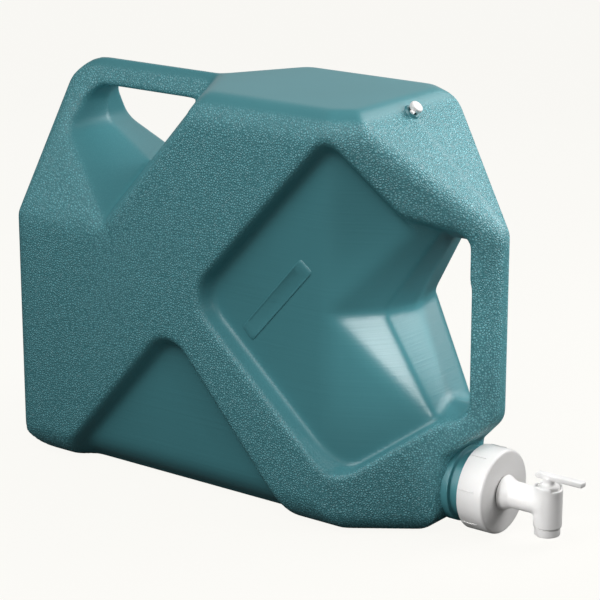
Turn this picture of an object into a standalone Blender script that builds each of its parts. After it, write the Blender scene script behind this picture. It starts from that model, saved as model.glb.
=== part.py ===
"""Camping water container with two moulded grips, a screw cap and a lever tap.

The tank lies on its long base. +X points out of the neck, +Z is up, and the
tank is the same on both sides of the plane Y = 0, where its mould parts.
The origin is in the middle of the base. All sizes are in metres.
"""
import math

import bmesh
import bpy
from mathutils import Matrix, Vector

# Tank: overall size and wall
TANK_LENGTH = 0.506
TANK_WIDTH = 0.200
TANK_HEIGHT = 0.390
TANK_WALL = 0.0028

# Tank: roundings of the long edges and corners
TOP_EDGE_RADIUS = 0.030
BASE_EDGE_RADIUS = 0.033
BACK_EDGE_RADIUS = 0.018
BACK_BASE_RADIUS = 0.045
BACK_TOP_RADIUS = 0.045
CREASE_RADIUS = 0.040
SLOPE_EDGE_RADIUS = 0.020
NOSE_RADIUS = 0.017
NOSE_BASE_RADIUS = 0.020
GRIP_INNER_RADIUS = 0.0073
GRIP_INNER_FLAT = 0.005
GRIP_CORNER_RADIUS = 0.030
CHIN_RADIUS = 0.020
SHELF_RADIUS = 0.010
FOOT_RADIUS = 0.030

# Tank: the front narrows from the crease to the upright grip. Setbacks are
# measured from the front or the back, drops from the top
CREASE_SETBACK = 0.128
NOSE_HALF_WIDTH = 0.010
FRONT_GRIP_DEPTH = 0.0245
SLOPE_RUN = 0.114
SLOPE_DROP = 0.104
CHIN_TOP_Z = 0.109
NECK_FACE_SETBACK = 0.040
CHIN_FOOT_Z = 0.073

# Tank: the rear top narrows from a fold to the top grip
FOLD_DROP = 0.143
TOP_RIDGE_HALF_WIDTH = 0.0035
TOP_GRIP_DEPTH = 0.026
BLOCK_TOP_SETBACK = 0.241
BLOCK_CENTRE_SETBACK = 0.183
BLOCK_LEAN = 0.888

# Tank: opening under the top grip
REAR_POST_DEPTH = 0.041
REAR_POST_DRAFT = 0.280
REAR_CORNER_RADIUS = 0.018
REAR_LEFT_SETBACK = 0.042
REAR_LEFT_DROP = 0.064
REAR_FOOT_SETBACK = 0.095
REAR_FOOT_DROP = 0.098
REAR_APEX_SETBACK = 0.117
REAR_APEX_DEPTH = 0.001
REAR_APEX_DROP = 0.141

# Tank: opening behind the upright grip
OPENING_FLOOR_Z = 0.119
OPENING_CEILING_DROP = 0.119
OPENING_FLOOR_DRAFT = 0.310
OPENING_CEILING_DRAFT = 0.480
THROAT_SETBACK = 0.095
THROAT_LOW_RISE = 0.001
THROAT_HIGH_RISE = 0.008
THROAT_CEILING_RUN = 0.040
THROAT_FLOOR_RUN = 0.0405
POCKET_SHELF_SETBACK = 0.097
POCKET_SHELF_HALF_WIDTH = 0.040
POCKET_SHELF_RISE = 0.016
POCKET_SHELF_FALL = 0.015
POCKET_TIP_SETBACK = 0.127
POCKET_TIP_DEPTH = 0.022
POCKET_TIP_RISE = 0.009
POCKET_TIP_HEIGHT = 0.016
POCKET_UPPER_RUN = 0.060
POCKET_UPPER_RISE = 0.071
POCKET_LOWER_RUN = 0.064
POCKET_LOWER_FALL = 0.077
CUTTER_STEP = 0.0004

# Tank: recessed panels on each side
PANEL_DEPTH = 0.017
PANEL_GRIP_DEPTH = 0.007
PANEL_DRAFT = math.radians(18)
PANEL_END_DRAFT = math.radians(9)
REAR_PANEL_DRAFT = math.radians(27)
FRONT_PANEL_CORNER_X = -0.032
FRONT_PANEL_CORNER_RISE = 0.004
FRONT_PANEL_TOP_PAST_CREASE = 0.002
FRONT_PANEL_TOP_DROP = 0.020
FRONT_PANEL_BOTTOM_PAST_CREASE = 0.010
FRONT_PANEL_BOTTOM_Z = 0.050
FRONT_PANEL_UPPER_FALL = 0.726
FRONT_PANEL_LOWER_RISE = 0.633
FRONT_PANEL_CORNER_RADIUS = 0.034
FRONT_PANEL_END_RADIUS = 0.014
REAR_PANEL_APEX_X = -0.0575
REAR_PANEL_APEX_Z = 0.166
REAR_PANEL_FALL = 1.13
REAR_PANEL_APEX_RADIUS = 0.030

# Gaps that two pieces keep where they touch
SEAT_GAP = 0.0003
LOOSE_GAP = 0.0006

# Neck
NECK_Z = 0.0415
NECK_LENGTH = 0.0389
NECK_BORE_RADIUS = 0.0275
NECK_WALL = 0.0035
COLLAR_STEP = 0.0045
COLLAR_LENGTH = 0.006
COLLAR_CHAMFER = 0.001

# Screw thread of neck and cap
THREAD_PITCH = 0.008
THREAD_TURNS = 1.5
THREAD_HEIGHT = 0.0015
THREAD_ROOT_WIDTH = 0.0030
THREAD_CREST_WIDTH = 0.0014
THREAD_SETBACK = 0.0154
THREAD_SINK = 0.0006
THREAD_FLANK_GAP = 0.0004
THREAD_TIP_GAP = 0.0009
THREAD_STEPS = 30

# Screw cap and the gasket in it
CAP_LENGTH = 0.0265
CAP_SKIRT_WALL = 0.0059
CAP_FACE_THICKNESS = 0.0028
CAP_RIB_COUNT = 7
CAP_RIB_HEIGHT = 0.0008
CAP_RIB_WIDTH = 0.0018
CAP_RIB_SHARE = 0.62
CAP_EDGE_ROUND = 0.0012
CAP_STEPS = 72
CAP_GASKET_THICKNESS = 0.0025
CAP_GASKET_OVERHANG = 0.0020

# Tap body, its gasket and its nut
TAP_GASKET_THICKNESS = 0.0015
TAP_GASKET_SETBACK = 0.0010
SHANK_RADIUS = 0.0090
SHANK_CLEARANCE = 0.0005
SHANK_TAIL = 0.0030
HUB_RADIUS = 0.0165
HUB_LENGTH = 0.0100
HUB_RIM_LENGTH = 0.0015
HUB_WAIST_LENGTH = 0.0060
HUB_WAIST_RADIUS = 0.0138
STEM_LENGTH = 0.0341
STEM_RADIUS = 0.0124
STEM_SETBACK = 0.0030
STEM_BORE_RADIUS = 0.0060
NUT_RADIUS = 0.0150
NUT_SIDES = 6
NUT_THICKNESS = 0.0060

# Tap barrel, plug and lever
BARREL_RISE = 0.0175
BARREL_DROP = 0.0218
BARREL_WALL = 0.0027
PLUG_RADIUS = 0.0100
PLUG_CLEARANCE = 0.0003
PLUG_BORE_RADIUS = 0.0070
PLUG_CROWN_THICKNESS = 0.0060
PLUG_TOP_CHAMFER = 0.0010
PORT_RADIUS = 0.0048
RING_GROOVE_DEPTH = 0.0020
RING_THICKNESS = 0.0019
RING_SETBACK = 0.0050
RING_SECTION_STEPS = 8
STOP_DEPTH = 0.0028
STOP_WIDTH = 0.0040
STOP_ROOT_RADIUS = 0.0060
STOP_TOP_SETBACK = 0.0001
NOZZLE_LENGTH = 0.0074
NOZZLE_STEP = 0.0012
NOZZLE_SEAT_STEP = 0.0010
NOZZLE_LIP = 0.0010
LEVER_LENGTH = 0.0480
LEVER_WIDTH = 0.0085
LEVER_THICKNESS = 0.0052
LEVER_HEEL = 0.0120
LEVER_POST_HEIGHT = 0.0055
LEVER_POST_RADIUS = 0.0052
LEVER_POST_FLARE = 0.0015
LEVER_POST_TIP_RADIUS = 0.0042
LEVER_BEND_RADIUS = 0.0014
LEVER_BEND_PROFILE = 0.5

# Vent in the top of the slope
VENT_SLOPE_DISTANCE = 0.0160
VENT_STEM_RADIUS = 0.0032
VENT_STEM_CLEARANCE = 0.0003
VENT_STEM_LENGTH = 0.0080
VENT_STEM_TIP_RADIUS = 0.0022
VENT_STEM_CHAMFER = 0.0010
VENT_BOSS_RADIUS = 0.0068
VENT_BOSS_SPREAD = 0.0015
VENT_BOSS_HEIGHT = 0.0020
VENT_HEAD_RADIUS = 0.0062
VENT_HEAD_HEIGHT = 0.0052
VENT_HEAD_BEVEL = 0.0018
VENT_CROWN_RADIUS = 0.0046
VENT_RING_THICKNESS = 0.0014
VENT_TAB_LENGTH = 0.0105
VENT_TAB_WIDTH = 0.0046
VENT_TAB_THICKNESS = 0.0021
VENT_TAB_ANGLE = math.radians(-70)

# How finely round forms are faceted
EDGE_STEPS = 3
FEW_STEPS = 2
ROUND_STEPS = 48
SMALL_STEPS = 24
SMOOTH_ANGLE = math.radians(30)
ARC_MIDDLE_SHARE = 1 - math.sqrt(0.5)

# Reach of helper shapes, and the distances that they are merged and overrun by
SPAN = 1.4
DRILL_DEPTH = 0.0084
MERGE = 0.000002
WIDE_MERGE = 0.00001
OVERRUN = 0.001

# Places that follow from the sizes
HALF_LENGTH = TANK_LENGTH / 2
HALF_WIDTH = TANK_WIDTH / 2
HALF_WALL = TANK_WALL / 2
CREASE_X = HALF_LENGTH - CREASE_SETBACK
TAPER_RUN = (HALF_WIDTH - NOSE_HALF_WIDTH) / CREASE_SETBACK
FOLD_Z = TANK_HEIGHT - FOLD_DROP
FOLD_RUN = (HALF_WIDTH - TOP_RIDGE_HALF_WIDTH) / FOLD_DROP
GRIP_FACE_X = HALF_LENGTH - FRONT_GRIP_DEPTH
TAPER_STRETCH = math.hypot(1, TAPER_RUN)
PANEL_RISE = (PANEL_DEPTH - PANEL_GRIP_DEPTH) * TAPER_STRETCH
PANEL_TAPER_RUN = TAPER_RUN - PANEL_RISE / (GRIP_FACE_X - CREASE_X)
THROAT_X = HALF_LENGTH - THROAT_SETBACK
OPENING_CEILING_Z = TANK_HEIGHT - OPENING_CEILING_DROP
GRIP_MIDDLE_Z = (OPENING_FLOOR_Z + OPENING_CEILING_Z) / 2
POCKET_SHELF = Vector((
    HALF_LENGTH - POCKET_SHELF_SETBACK, -POCKET_SHELF_HALF_WIDTH, GRIP_MIDDLE_Z + POCKET_SHELF_RISE))
POCKET_TIP = Vector((
    HALF_LENGTH - POCKET_TIP_SETBACK, POCKET_TIP_DEPTH - HALF_WIDTH, GRIP_MIDDLE_Z + POCKET_TIP_RISE))
NECK_FACE_X = HALF_LENGTH - NECK_FACE_SETBACK
NECK_RADIUS = NECK_BORE_RADIUS + NECK_WALL
NECK_END_X = NECK_FACE_X + NECK_LENGTH
COLLAR_RADIUS = NECK_RADIUS + COLLAR_STEP
THREAD_START_X = NECK_END_X - THREAD_SETBACK
CAP_INNER_X = NECK_END_X + SEAT_GAP + CAP_GASKET_THICKNESS + SEAT_GAP
CAP_FACE_X = CAP_INNER_X + CAP_FACE_THICKNESS
CAP_BACK_X = CAP_FACE_X - CAP_LENGTH
CAP_BORE_RADIUS = NECK_RADIUS + THREAD_HEIGHT + THREAD_TIP_GAP
CAP_RADIUS = CAP_BORE_RADIUS + CAP_SKIRT_WALL
CAP_HOLE_RADIUS = SHANK_RADIUS + SHANK_CLEARANCE
HUB_BACK_X = CAP_FACE_X + TAP_GASKET_THICKNESS + LOOSE_GAP
HUB_FRONT_X = HUB_BACK_X + HUB_LENGTH
BARREL_X = HUB_FRONT_X + STEM_LENGTH
BARREL_TOP_Z = NECK_Z + BARREL_RISE
BARREL_BOTTOM_Z = NECK_Z - BARREL_DROP
BARREL_BORE_RADIUS = PLUG_RADIUS + PLUG_CLEARANCE
BARREL_RADIUS = BARREL_BORE_RADIUS + BARREL_WALL
NOZZLE_TOP_Z = BARREL_BOTTOM_Z - SEAT_GAP
NOZZLE_BOTTOM_Z = NOZZLE_TOP_Z - NOZZLE_LENGTH
NOZZLE_RADIUS = BARREL_RADIUS - NOZZLE_STEP
NOZZLE_SEAT_RADIUS = PLUG_RADIUS - NOZZLE_SEAT_STEP
LEVER_BOTTOM_Z = BARREL_TOP_Z + LEVER_POST_HEIGHT
VENT_HOLE_RADIUS = VENT_STEM_RADIUS + VENT_STEM_CLEARANCE
VENT_SEAT = VENT_BOSS_HEIGHT + VENT_RING_THICKNESS + LOOSE_GAP
SLOPE_NORMAL = Vector((SLOPE_DROP, 0.0, SLOPE_RUN)).normalized()
SLOPE_DOWN = Vector((SLOPE_RUN, 0.0, -SLOPE_DROP)).normalized()
TOP_CORNER = Vector((HALF_LENGTH - SLOPE_RUN, 0.0, TANK_HEIGHT))
VENT_POINT = TOP_CORNER + SLOPE_DOWN * VENT_SLOPE_DISTANCE
UP = Vector((0, 0, 1))
SIDE = Vector((0, 1, 0))
FORWARD = Vector((1, 0, 0))

# Colours and roughnesses
TEAL = (0.066, 0.163, 0.171, 1.0)
WHITE = (0.860, 0.860, 0.850, 1.0)
BLACK_RUBBER = (0.020, 0.020, 0.022, 1.0)
GREY_FOAM = (0.420, 0.420, 0.410, 1.0)
TEAL_ROUGHNESS = 0.42
WHITE_ROUGHNESS = 0.38
RUBBER_ROUGHNESS = 0.60
FOAM_ROUGHNESS = 0.85


def clear_scene():
    """Remove whatever the scene holds."""
    for item in list(bpy.data.objects):
        bpy.data.objects.remove(item, do_unlink=True)


def material(name, colour, roughness):
    """One plain Principled material."""
    result = bpy.data.materials.new(name)
    result.use_nodes = True
    shader = result.node_tree.nodes["Principled BSDF"]
    shader.inputs["Base Color"].default_value = colour
    shader.inputs["Roughness"].default_value = roughness
    shader.inputs["Metallic"].default_value = 0.0
    return result


def add_object(name, bm, finish=None):
    """Turn a bmesh into a named object that is shaded smooth over shallow edges."""
    mesh = bpy.data.meshes.new(name)
    bm.to_mesh(mesh)
    bm.free()
    mesh.shade_smooth()
    mesh.set_sharp_from_angle(angle=SMOOTH_ANGLE)
    item = bpy.data.objects.new(name, mesh)
    bpy.context.scene.collection.objects.link(item)
    if finish is not None:
        mesh.materials.append(finish)
    return item


def as_cutter(item):
    """Mark a helper shape, which isn't a piece."""
    item.hide_render = True
    item.display_type = "WIRE"
    return item


def combine(item, helper, operation):
    """Cut a helper shape away from an item, or join or keep its overlap."""
    step = item.modifiers.new(helper.name, "BOOLEAN")
    step.operation = operation
    step.solver = "EXACT"
    step.object = as_cutter(helper)
    return item


def plane(normal, point):
    """A bounding plane: its outward unit normal and its distance."""
    unit = Vector(normal).normalized()
    return unit, unit.dot(Vector(point))


def plane_through(first, second, third, outside):
    """The plane through three points, facing the point outside it."""
    start = Vector(first)
    unit = (Vector(second) - start).cross(Vector(third) - start).normalized()
    if unit.dot(Vector(outside) - start) < 0:
        unit = -unit
    return unit, unit.dot(start)


def flipped(bound):
    """The same plane with its outside and inside exchanged."""
    return -bound[0], -bound[1]


def rounding(first, second, radius, steps=EDGE_STEPS):
    """Planes tangent to the fillet between two bounding planes."""
    cosine = first[0].dot(second[0])
    spread = 1 - cosine * cosine
    reach_first = first[1] - radius
    reach_second = second[1] - radius
    along_first = (reach_first - cosine * reach_second) / spread
    along_second = (reach_second - cosine * reach_first) / spread
    centre = first[0] * along_first + second[0] * along_second
    angle = math.acos(cosine)
    result = []
    for step in range(1, steps + 1):
        turn = angle * step / (steps + 1)
        unit = (first[0] * math.sin(angle - turn) + second[0] * math.sin(turn)) / math.sin(angle)
        result.append((unit, unit.dot(centre) + radius))
    return result


def convex(name, bounds, grow=0.0):
    """The solid inside a set of planes, each moved outwards by the growth."""
    bm = bmesh.new()
    bmesh.ops.create_cube(bm, size=SPAN)
    for normal, distance in bounds:
        everything = bm.verts[:] + bm.edges[:] + bm.faces[:]
        cut = bmesh.ops.bisect_plane(
            bm, geom=everything, dist=MERGE, plane_co=normal * (distance + grow),
            plane_no=normal, clear_outer=True)
        rim = [part for part in cut["geom_cut"] if isinstance(part, bmesh.types.BMEdge)]
        if rim:
            bmesh.ops.contextual_create(bm, geom=rim)
    bmesh.ops.remove_doubles(bm, verts=bm.verts[:], dist=WIDE_MERGE)
    bmesh.ops.dissolve_degenerate(bm, dist=WIDE_MERGE, edges=bm.edges[:])
    bmesh.ops.recalc_face_normals(bm, faces=bm.faces[:])
    return add_object(name, bm)


def turned(name, outline, frame, steps=ROUND_STEPS, finish=None, solid=False):
    """Turn an outline of (radius, height) points about the frame's Z.

    A ring's outline closes on itself. A solid's outline runs from the rim of
    one end face to the rim of the other, and both ends are filled.
    """
    bm = bmesh.new()
    corners = [bm.verts.new((radius, 0.0, height)) for radius, height in outline]
    for start, end in zip(corners, corners[1:]):
        bm.edges.new((start, end))
    if not solid:
        bm.edges.new((corners[-1], corners[0]))
    bmesh.ops.spin(
        bm, geom=bm.verts[:] + bm.edges[:], cent=(0, 0, 0), axis=(0, 0, 1),
        angle=math.tau, steps=steps, use_merge=True, use_duplicate=False)
    bmesh.ops.remove_doubles(bm, verts=bm.verts[:], dist=MERGE)
    if solid:
        rims = [edge for edge in bm.edges if edge.is_boundary]
        bmesh.ops.holes_fill(bm, edges=rims)
    bmesh.ops.recalc_face_normals(bm, faces=bm.faces[:])
    bmesh.ops.transform(bm, matrix=frame, verts=bm.verts[:])
    return add_object(name, bm, finish)


def rod(name, radius, low, high, frame, steps=ROUND_STEPS):
    """A plain round bar between two heights of a frame."""
    return turned(name, [(radius, low), (radius, high)], frame, steps, solid=True)


def block(name, low, high, frame=None):
    """A plain box between two corners, optionally in a frame."""
    bm = bmesh.new()
    bmesh.ops.create_cube(bm, size=1.0)
    low = Vector(low)
    high = Vector(high)
    size = high - low
    place = Matrix.Translation((low + high) / 2) @ Matrix.Diagonal((*size, 1.0))
    bmesh.ops.transform(bm, matrix=place, verts=bm.verts[:])
    if frame is not None:
        bmesh.ops.transform(bm, matrix=frame, verts=bm.verts[:])
    return add_object(name, bm)


def frame_along(origin, direction, reference=UP):
    """A frame at a point whose Z runs along a direction."""
    z_axis = Vector(direction).normalized()
    x_axis = Vector(reference).cross(z_axis).normalized()
    y_axis = z_axis.cross(x_axis)
    turn = Matrix((x_axis, y_axis, z_axis)).transposed().to_4x4()
    return Matrix.Translation(origin) @ turn


NECK_FRAME = frame_along(Vector((0, 0, NECK_Z)), FORWARD)
BARREL_FRAME = frame_along(Vector((BARREL_X, 0, 0)), UP, SIDE)
VENT_FRAME = frame_along(VENT_POINT, SLOPE_NORMAL, SIDE)


def joined(name, items):
    """One helper mesh made of several separate shapes."""
    bm = bmesh.new()
    for item in items:
        bm.from_mesh(item.data)
        bpy.data.objects.remove(item, do_unlink=True)
    return add_object(name, bm)


def nose_taper(hand):
    """The flat that narrows the front of one side, from the crease to the nose."""
    return plane((TAPER_RUN, hand, 0), (CREASE_X, hand * HALF_WIDTH, 0))


def nose_panel_floor(hand):
    """The floor of the recessed panel on that flat, which comes up towards the grip."""
    half_width = HALF_WIDTH - PANEL_DEPTH * TAPER_STRETCH
    return plane((PANEL_TAPER_RUN, hand, 0), (CREASE_X, hand * half_width, 0))


def rear_fold(hand=-1):
    """The slanted flank beside the top grip."""
    return plane((0, hand, FOLD_RUN), (0, hand * HALF_WIDTH, FOLD_Z))


def tank_bounds(side_inset=0.0, base_drop=0.0):
    """Planes of the tank's convex outer form, with roundings.

    A side inset moves the two sides and the two tapered fronts inwards, to where
    the floor of the recessed panels is.
    """
    back = plane(-FORWARD, (-HALF_LENGTH, 0, 0))
    front = plane(FORWARD, (HALF_LENGTH, 0, 0))
    top = plane(UP, (0, 0, TANK_HEIGHT))
    base = plane(-UP, (0, 0, -base_drop))
    slope = plane(SLOPE_NORMAL, TOP_CORNER)
    bounds = [back, front, top, base, slope]
    bounds += rounding(back, base, BACK_BASE_RADIUS)
    bounds += rounding(back, top, BACK_TOP_RADIUS)
    bounds += rounding(slope, top, SLOPE_EDGE_RADIUS, FEW_STEPS)
    bounds += rounding(front, slope, GRIP_CORNER_RADIUS, FEW_STEPS)
    for hand in (-1, 1):
        side = plane(SIDE * hand, (0, hand * (HALF_WIDTH - side_inset), 0))
        taper = nose_panel_floor(hand) if side_inset > 0.0 else nose_taper(hand)
        bounds += [side, taper]
        bounds += rounding(side, top, TOP_EDGE_RADIUS)
        bounds += rounding(side, base, BASE_EDGE_RADIUS)
        bounds += rounding(side, back, BACK_EDGE_RADIUS)
        bounds += rounding(side, taper, CREASE_RADIUS, FEW_STEPS)
        bounds += rounding(taper, top, TOP_EDGE_RADIUS)
        bounds += rounding(taper, slope, SLOPE_EDGE_RADIUS)
        if side_inset > 0.0:
            bounds += rounding(taper, base, BASE_EDGE_RADIUS)
        else:
            bounds += rounding(taper, base, NOSE_BASE_RADIUS)
            bounds += rounding(taper, front, NOSE_RADIUS)
            bounds += rounding(rear_fold(hand), back, BACK_EDGE_RADIUS)
    return bounds


def block_end():
    """The slanted end wall of the full-width block, on the near side."""
    top = Vector((BLOCK_TOP_SETBACK - HALF_LENGTH, -HALF_WIDTH, TANK_HEIGHT))
    low = top - Vector((BLOCK_LEAN, 0, 1)) * FOLD_DROP
    middle = Vector((BLOCK_CENTRE_SETBACK - HALF_LENGTH, 0, TANK_HEIGHT))
    return plane_through(top, low, middle, FORWARD)


def past_middle(grow):
    """Plane that lets a near-side cutter run just past the parting plane."""
    return plane(SIDE, (0, OVERRUN - grow, 0))


def tightened(bound):
    """A plane moved in a little, so that two cutters never share a face."""
    return bound[0], bound[1] - CUTTER_STEP


def edge_cutters(first, second, radius, limits):
    """Cutters that round a sharp outer edge between two planes in a few steps."""
    return [[flipped(bound)] + limits for bound in rounding(first, second, radius, FEW_STEPS)]


def rear_flank_bounds(grow):
    """Planes of what is cut away beside the top grip."""
    wall = block_end()
    flank = flipped(rear_fold())
    return [wall, flank, past_middle(grow)] + rounding(wall, flank, SHELF_RADIUS, 1)


def rear_opening_sides():
    """The post, the slanted floor and the underside of the top grip, near side."""
    post = plane((-1, REAR_POST_DRAFT, 0), (REAR_POST_DEPTH - HALF_LENGTH, 0, 0))
    corner = Vector((-HALF_LENGTH, 0, TANK_HEIGHT))
    left = corner + Vector((REAR_LEFT_SETBACK, 0, -REAR_LEFT_DROP))
    foot = corner + Vector((REAR_FOOT_SETBACK, 0, -REAR_FOOT_DROP))
    apex = corner + Vector((REAR_APEX_SETBACK, REAR_APEX_DEPTH - HALF_WIDTH, -REAR_APEX_DROP))
    low = plane_through(left, foot, apex, -FORWARD)
    ceiling = plane(UP, (0, 0, TANK_HEIGHT - TOP_GRIP_DEPTH))
    return post, low, ceiling


def rear_opening_bounds(grow):
    """Planes of one half of the finger opening under the top grip."""
    post, low, ceiling = rear_opening_sides()
    bounds = [block_end(), post, low, ceiling, past_middle(grow)]
    bounds += rounding(post, ceiling, REAR_CORNER_RADIUS)
    bounds += rounding(post, low, REAR_CORNER_RADIUS, FEW_STEPS)
    return bounds


def top_grip_edge_cutters():
    """What is cut away to round the lower edge of the top grip, near side."""
    post, low, ceiling = rear_opening_sides()
    beside = plane(SIDE, (0, -GRIP_INNER_FLAT, 0))
    limits = [tightened(block_end()), tightened(low), beside]
    limits += rounding(tightened(post), tightened(ceiling), REAR_CORNER_RADIUS, 1)
    return edge_cutters(rear_fold(), flipped(ceiling), GRIP_INNER_RADIUS, limits)


def front_opening_ends(step=0.0):
    """The grip's inner face and the ceiling and floor behind it, near side."""
    grip = plane(FORWARD, (GRIP_FACE_X - step, 0, 0))
    ceiling = plane((0, OPENING_CEILING_DRAFT, 1), (0, 0, OPENING_CEILING_Z - step))
    floor = plane((0, OPENING_FLOOR_DRAFT, -1), (0, 0, OPENING_FLOOR_Z + step))
    return grip, ceiling, floor


def throat_bounds(grow):
    """Planes of the inner throat behind the upright grip, near side."""
    grip, ceiling, floor = front_opening_ends(CUTTER_STEP)
    high_start = Vector((THROAT_X, 0, GRIP_MIDDLE_Z + THROAT_HIGH_RISE))
    low_start = Vector((THROAT_X, 0, GRIP_MIDDLE_Z + THROAT_LOW_RISE))
    high_end = Vector((THROAT_X + THROAT_CEILING_RUN, 0, OPENING_CEILING_Z))
    low_end = Vector((THROAT_X + THROAT_FLOOR_RUN, 0, OPENING_FLOOR_Z))
    shelf_low = POCKET_SHELF - UP * POCKET_SHELF_FALL
    high = plane_through(high_start, high_end, POCKET_SHELF, -FORWARD)
    low = plane_through(low_start, low_end, shelf_low, -FORWARD)
    bounds = [grip, ceiling, floor, high, low, past_middle(grow)]
    return bounds + pocket_roundings(grip, ceiling, floor, high, low)


def pocket_roundings(grip, ceiling, floor, high, low):
    """Roundings that the throat and the pocket around it share."""
    bounds = rounding(high, low, SHELF_RADIUS, FEW_STEPS)
    bounds += rounding(low, floor, SHELF_RADIUS, FEW_STEPS)
    bounds += rounding(grip, ceiling, SHELF_RADIUS)
    bounds += rounding(grip, floor, SHELF_RADIUS)
    return bounds


def pocket_bounds():
    """Planes of the wide pocket outside that throat, near side."""
    grip, ceiling, floor = front_opening_ends()
    upper_rim = Vector((POCKET_UPPER_RUN, POCKET_UPPER_RUN * PANEL_TAPER_RUN, POCKET_UPPER_RISE))
    lower_rim = Vector((POCKET_LOWER_RUN, POCKET_LOWER_RUN * PANEL_TAPER_RUN, -POCKET_LOWER_FALL))
    tip_high = POCKET_TIP + UP * (POCKET_TIP_HEIGHT / 2)
    tip_low = POCKET_TIP - UP * (POCKET_TIP_HEIGHT / 2)
    shelf_low = POCKET_SHELF - UP * POCKET_SHELF_FALL
    high = plane_through(tip_high, tip_high + upper_rim, POCKET_SHELF, UP - FORWARD)
    low = plane_through(tip_low, tip_low + lower_rim, shelf_low, -UP - FORWARD)
    return [grip, ceiling, floor, high, low] + pocket_roundings(grip, ceiling, floor, high, low)


def front_grip_edge_cutters():
    """What is cut away to round the inner edge of the upright grip, near side."""
    grip, ceiling, floor = front_opening_ends(CUTTER_STEP * 2)
    beside = plane(SIDE, (0, -GRIP_INNER_FLAT, 0))
    behind = plane(-FORWARD, (GRIP_FACE_X - CHIN_RADIUS, 0, 0))
    inner_face = plane(-FORWARD, (GRIP_FACE_X, 0, 0))
    limits = [ceiling, floor, beside, behind]
    return edge_cutters(nose_taper(-1), inner_face, GRIP_INNER_RADIUS, limits)


def panel_wall(start, run, outward, draft=PANEL_DRAFT):
    """A drafted wall of a side panel along a run from an (x, z) point, near side."""
    normal = Vector((run[0], 0, run[1])).cross(SIDE).normalized()
    if normal.dot(Vector(outward)) < 0:
        normal = -normal
    tilted = normal * math.cos(draft) + SIDE * math.sin(draft)
    return plane(tilted, (start[0], -HALF_WIDTH, start[1]))


def front_panel_bounds():
    """Planes of the large recessed panel that runs round the crease."""
    corner = (FRONT_PANEL_CORNER_X, GRIP_MIDDLE_Z + FRONT_PANEL_CORNER_RISE)
    top = (CREASE_X + FRONT_PANEL_TOP_PAST_CREASE, TANK_HEIGHT - FRONT_PANEL_TOP_DROP)
    bottom = (CREASE_X + FRONT_PANEL_BOTTOM_PAST_CREASE, FRONT_PANEL_BOTTOM_Z)
    upper = panel_wall(corner, (top[0] - corner[0], top[1] - corner[1]), (-1, 0, 1))
    lower = panel_wall(corner, (bottom[0] - corner[0], bottom[1] - corner[1]), (-1, 0, -1))
    front_upper = panel_wall(top, (1, -FRONT_PANEL_UPPER_FALL), (0, 0, 1), PANEL_END_DRAFT)
    front_lower = panel_wall(bottom, (1, FRONT_PANEL_LOWER_RISE), (0, 0, -1), PANEL_END_DRAFT)
    bounds = [upper, lower, front_upper, front_lower]
    bounds += rounding(upper, lower, FRONT_PANEL_CORNER_RADIUS)
    bounds += rounding(upper, front_upper, FRONT_PANEL_END_RADIUS)
    bounds += rounding(lower, front_lower, FRONT_PANEL_END_RADIUS)
    return bounds


def rear_panel_bounds():
    """Planes of the three-cornered panel that is open at the base."""
    apex = (REAR_PANEL_APEX_X, REAR_PANEL_APEX_Z)
    left = panel_wall(apex, (-1, -REAR_PANEL_FALL), (-1, 0, 1), REAR_PANEL_DRAFT)
    right = panel_wall(apex, (1, -REAR_PANEL_FALL), (1, 0, 1))
    return [left, right] + rounding(left, right, REAR_PANEL_APEX_RADIUS)


def chin_plane():
    """The slanted underside of the upright grip; the tank lies above it."""
    chin_top = Vector((HALF_LENGTH, 0, CHIN_TOP_Z))
    chin_foot = Vector((NECK_FACE_X, 0, CHIN_FOOT_Z))
    return plane_through(chin_top, chin_foot, chin_foot + SIDE, -UP)


def chin_bounds():
    """Planes of what is cut away under the upright grip, in front of the neck."""
    neck_face = plane(-FORWARD, (NECK_FACE_X, 0, 0))
    chin = flipped(chin_plane())
    return [neck_face, chin] + rounding(neck_face, chin, SHELF_RADIUS, FEW_STEPS)


def chin_edge_cutters():
    """What is cut away to round the grip's lower front corner."""
    front = plane(FORWARD, (HALF_LENGTH, 0, 0))
    above = plane(-UP, (0, 0, CHIN_FOOT_Z + SHELF_RADIUS))
    return edge_cutters(front, chin_plane(), CHIN_RADIUS, [above])


def foot_cutter(name, inset):
    """What is cut away to round the front of the base under the neck."""
    centre = Vector((NECK_FACE_X - FOOT_RADIUS, 0, FOOT_RADIUS))
    corner = block(
        name, (centre.x, -HALF_WIDTH - OVERRUN, -FOOT_RADIUS),
        (HALF_LENGTH, HALF_WIDTH + OVERRUN, centre.z))
    barrel = rod(
        name + "_round", FOOT_RADIUS - inset, -TANK_WIDTH, TANK_WIDTH,
        frame_along(centre, SIDE), ROUND_STEPS)
    return combine(corner, barrel, "DIFFERENCE")


def applied(form):
    """The mesh of a form after its cuts, without edges that are too short to keep."""
    bm = bmesh.new()
    bm.from_object(form, bpy.context.evaluated_depsgraph_get())
    bmesh.ops.dissolve_degenerate(bm, dist=MERGE, edges=bm.edges[:])
    form.modifiers.clear()
    return bm


def settle(form):
    """Make a form's cuts part of its own mesh."""
    bm = applied(form)
    bm.to_mesh(form.data)
    bm.free()


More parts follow.
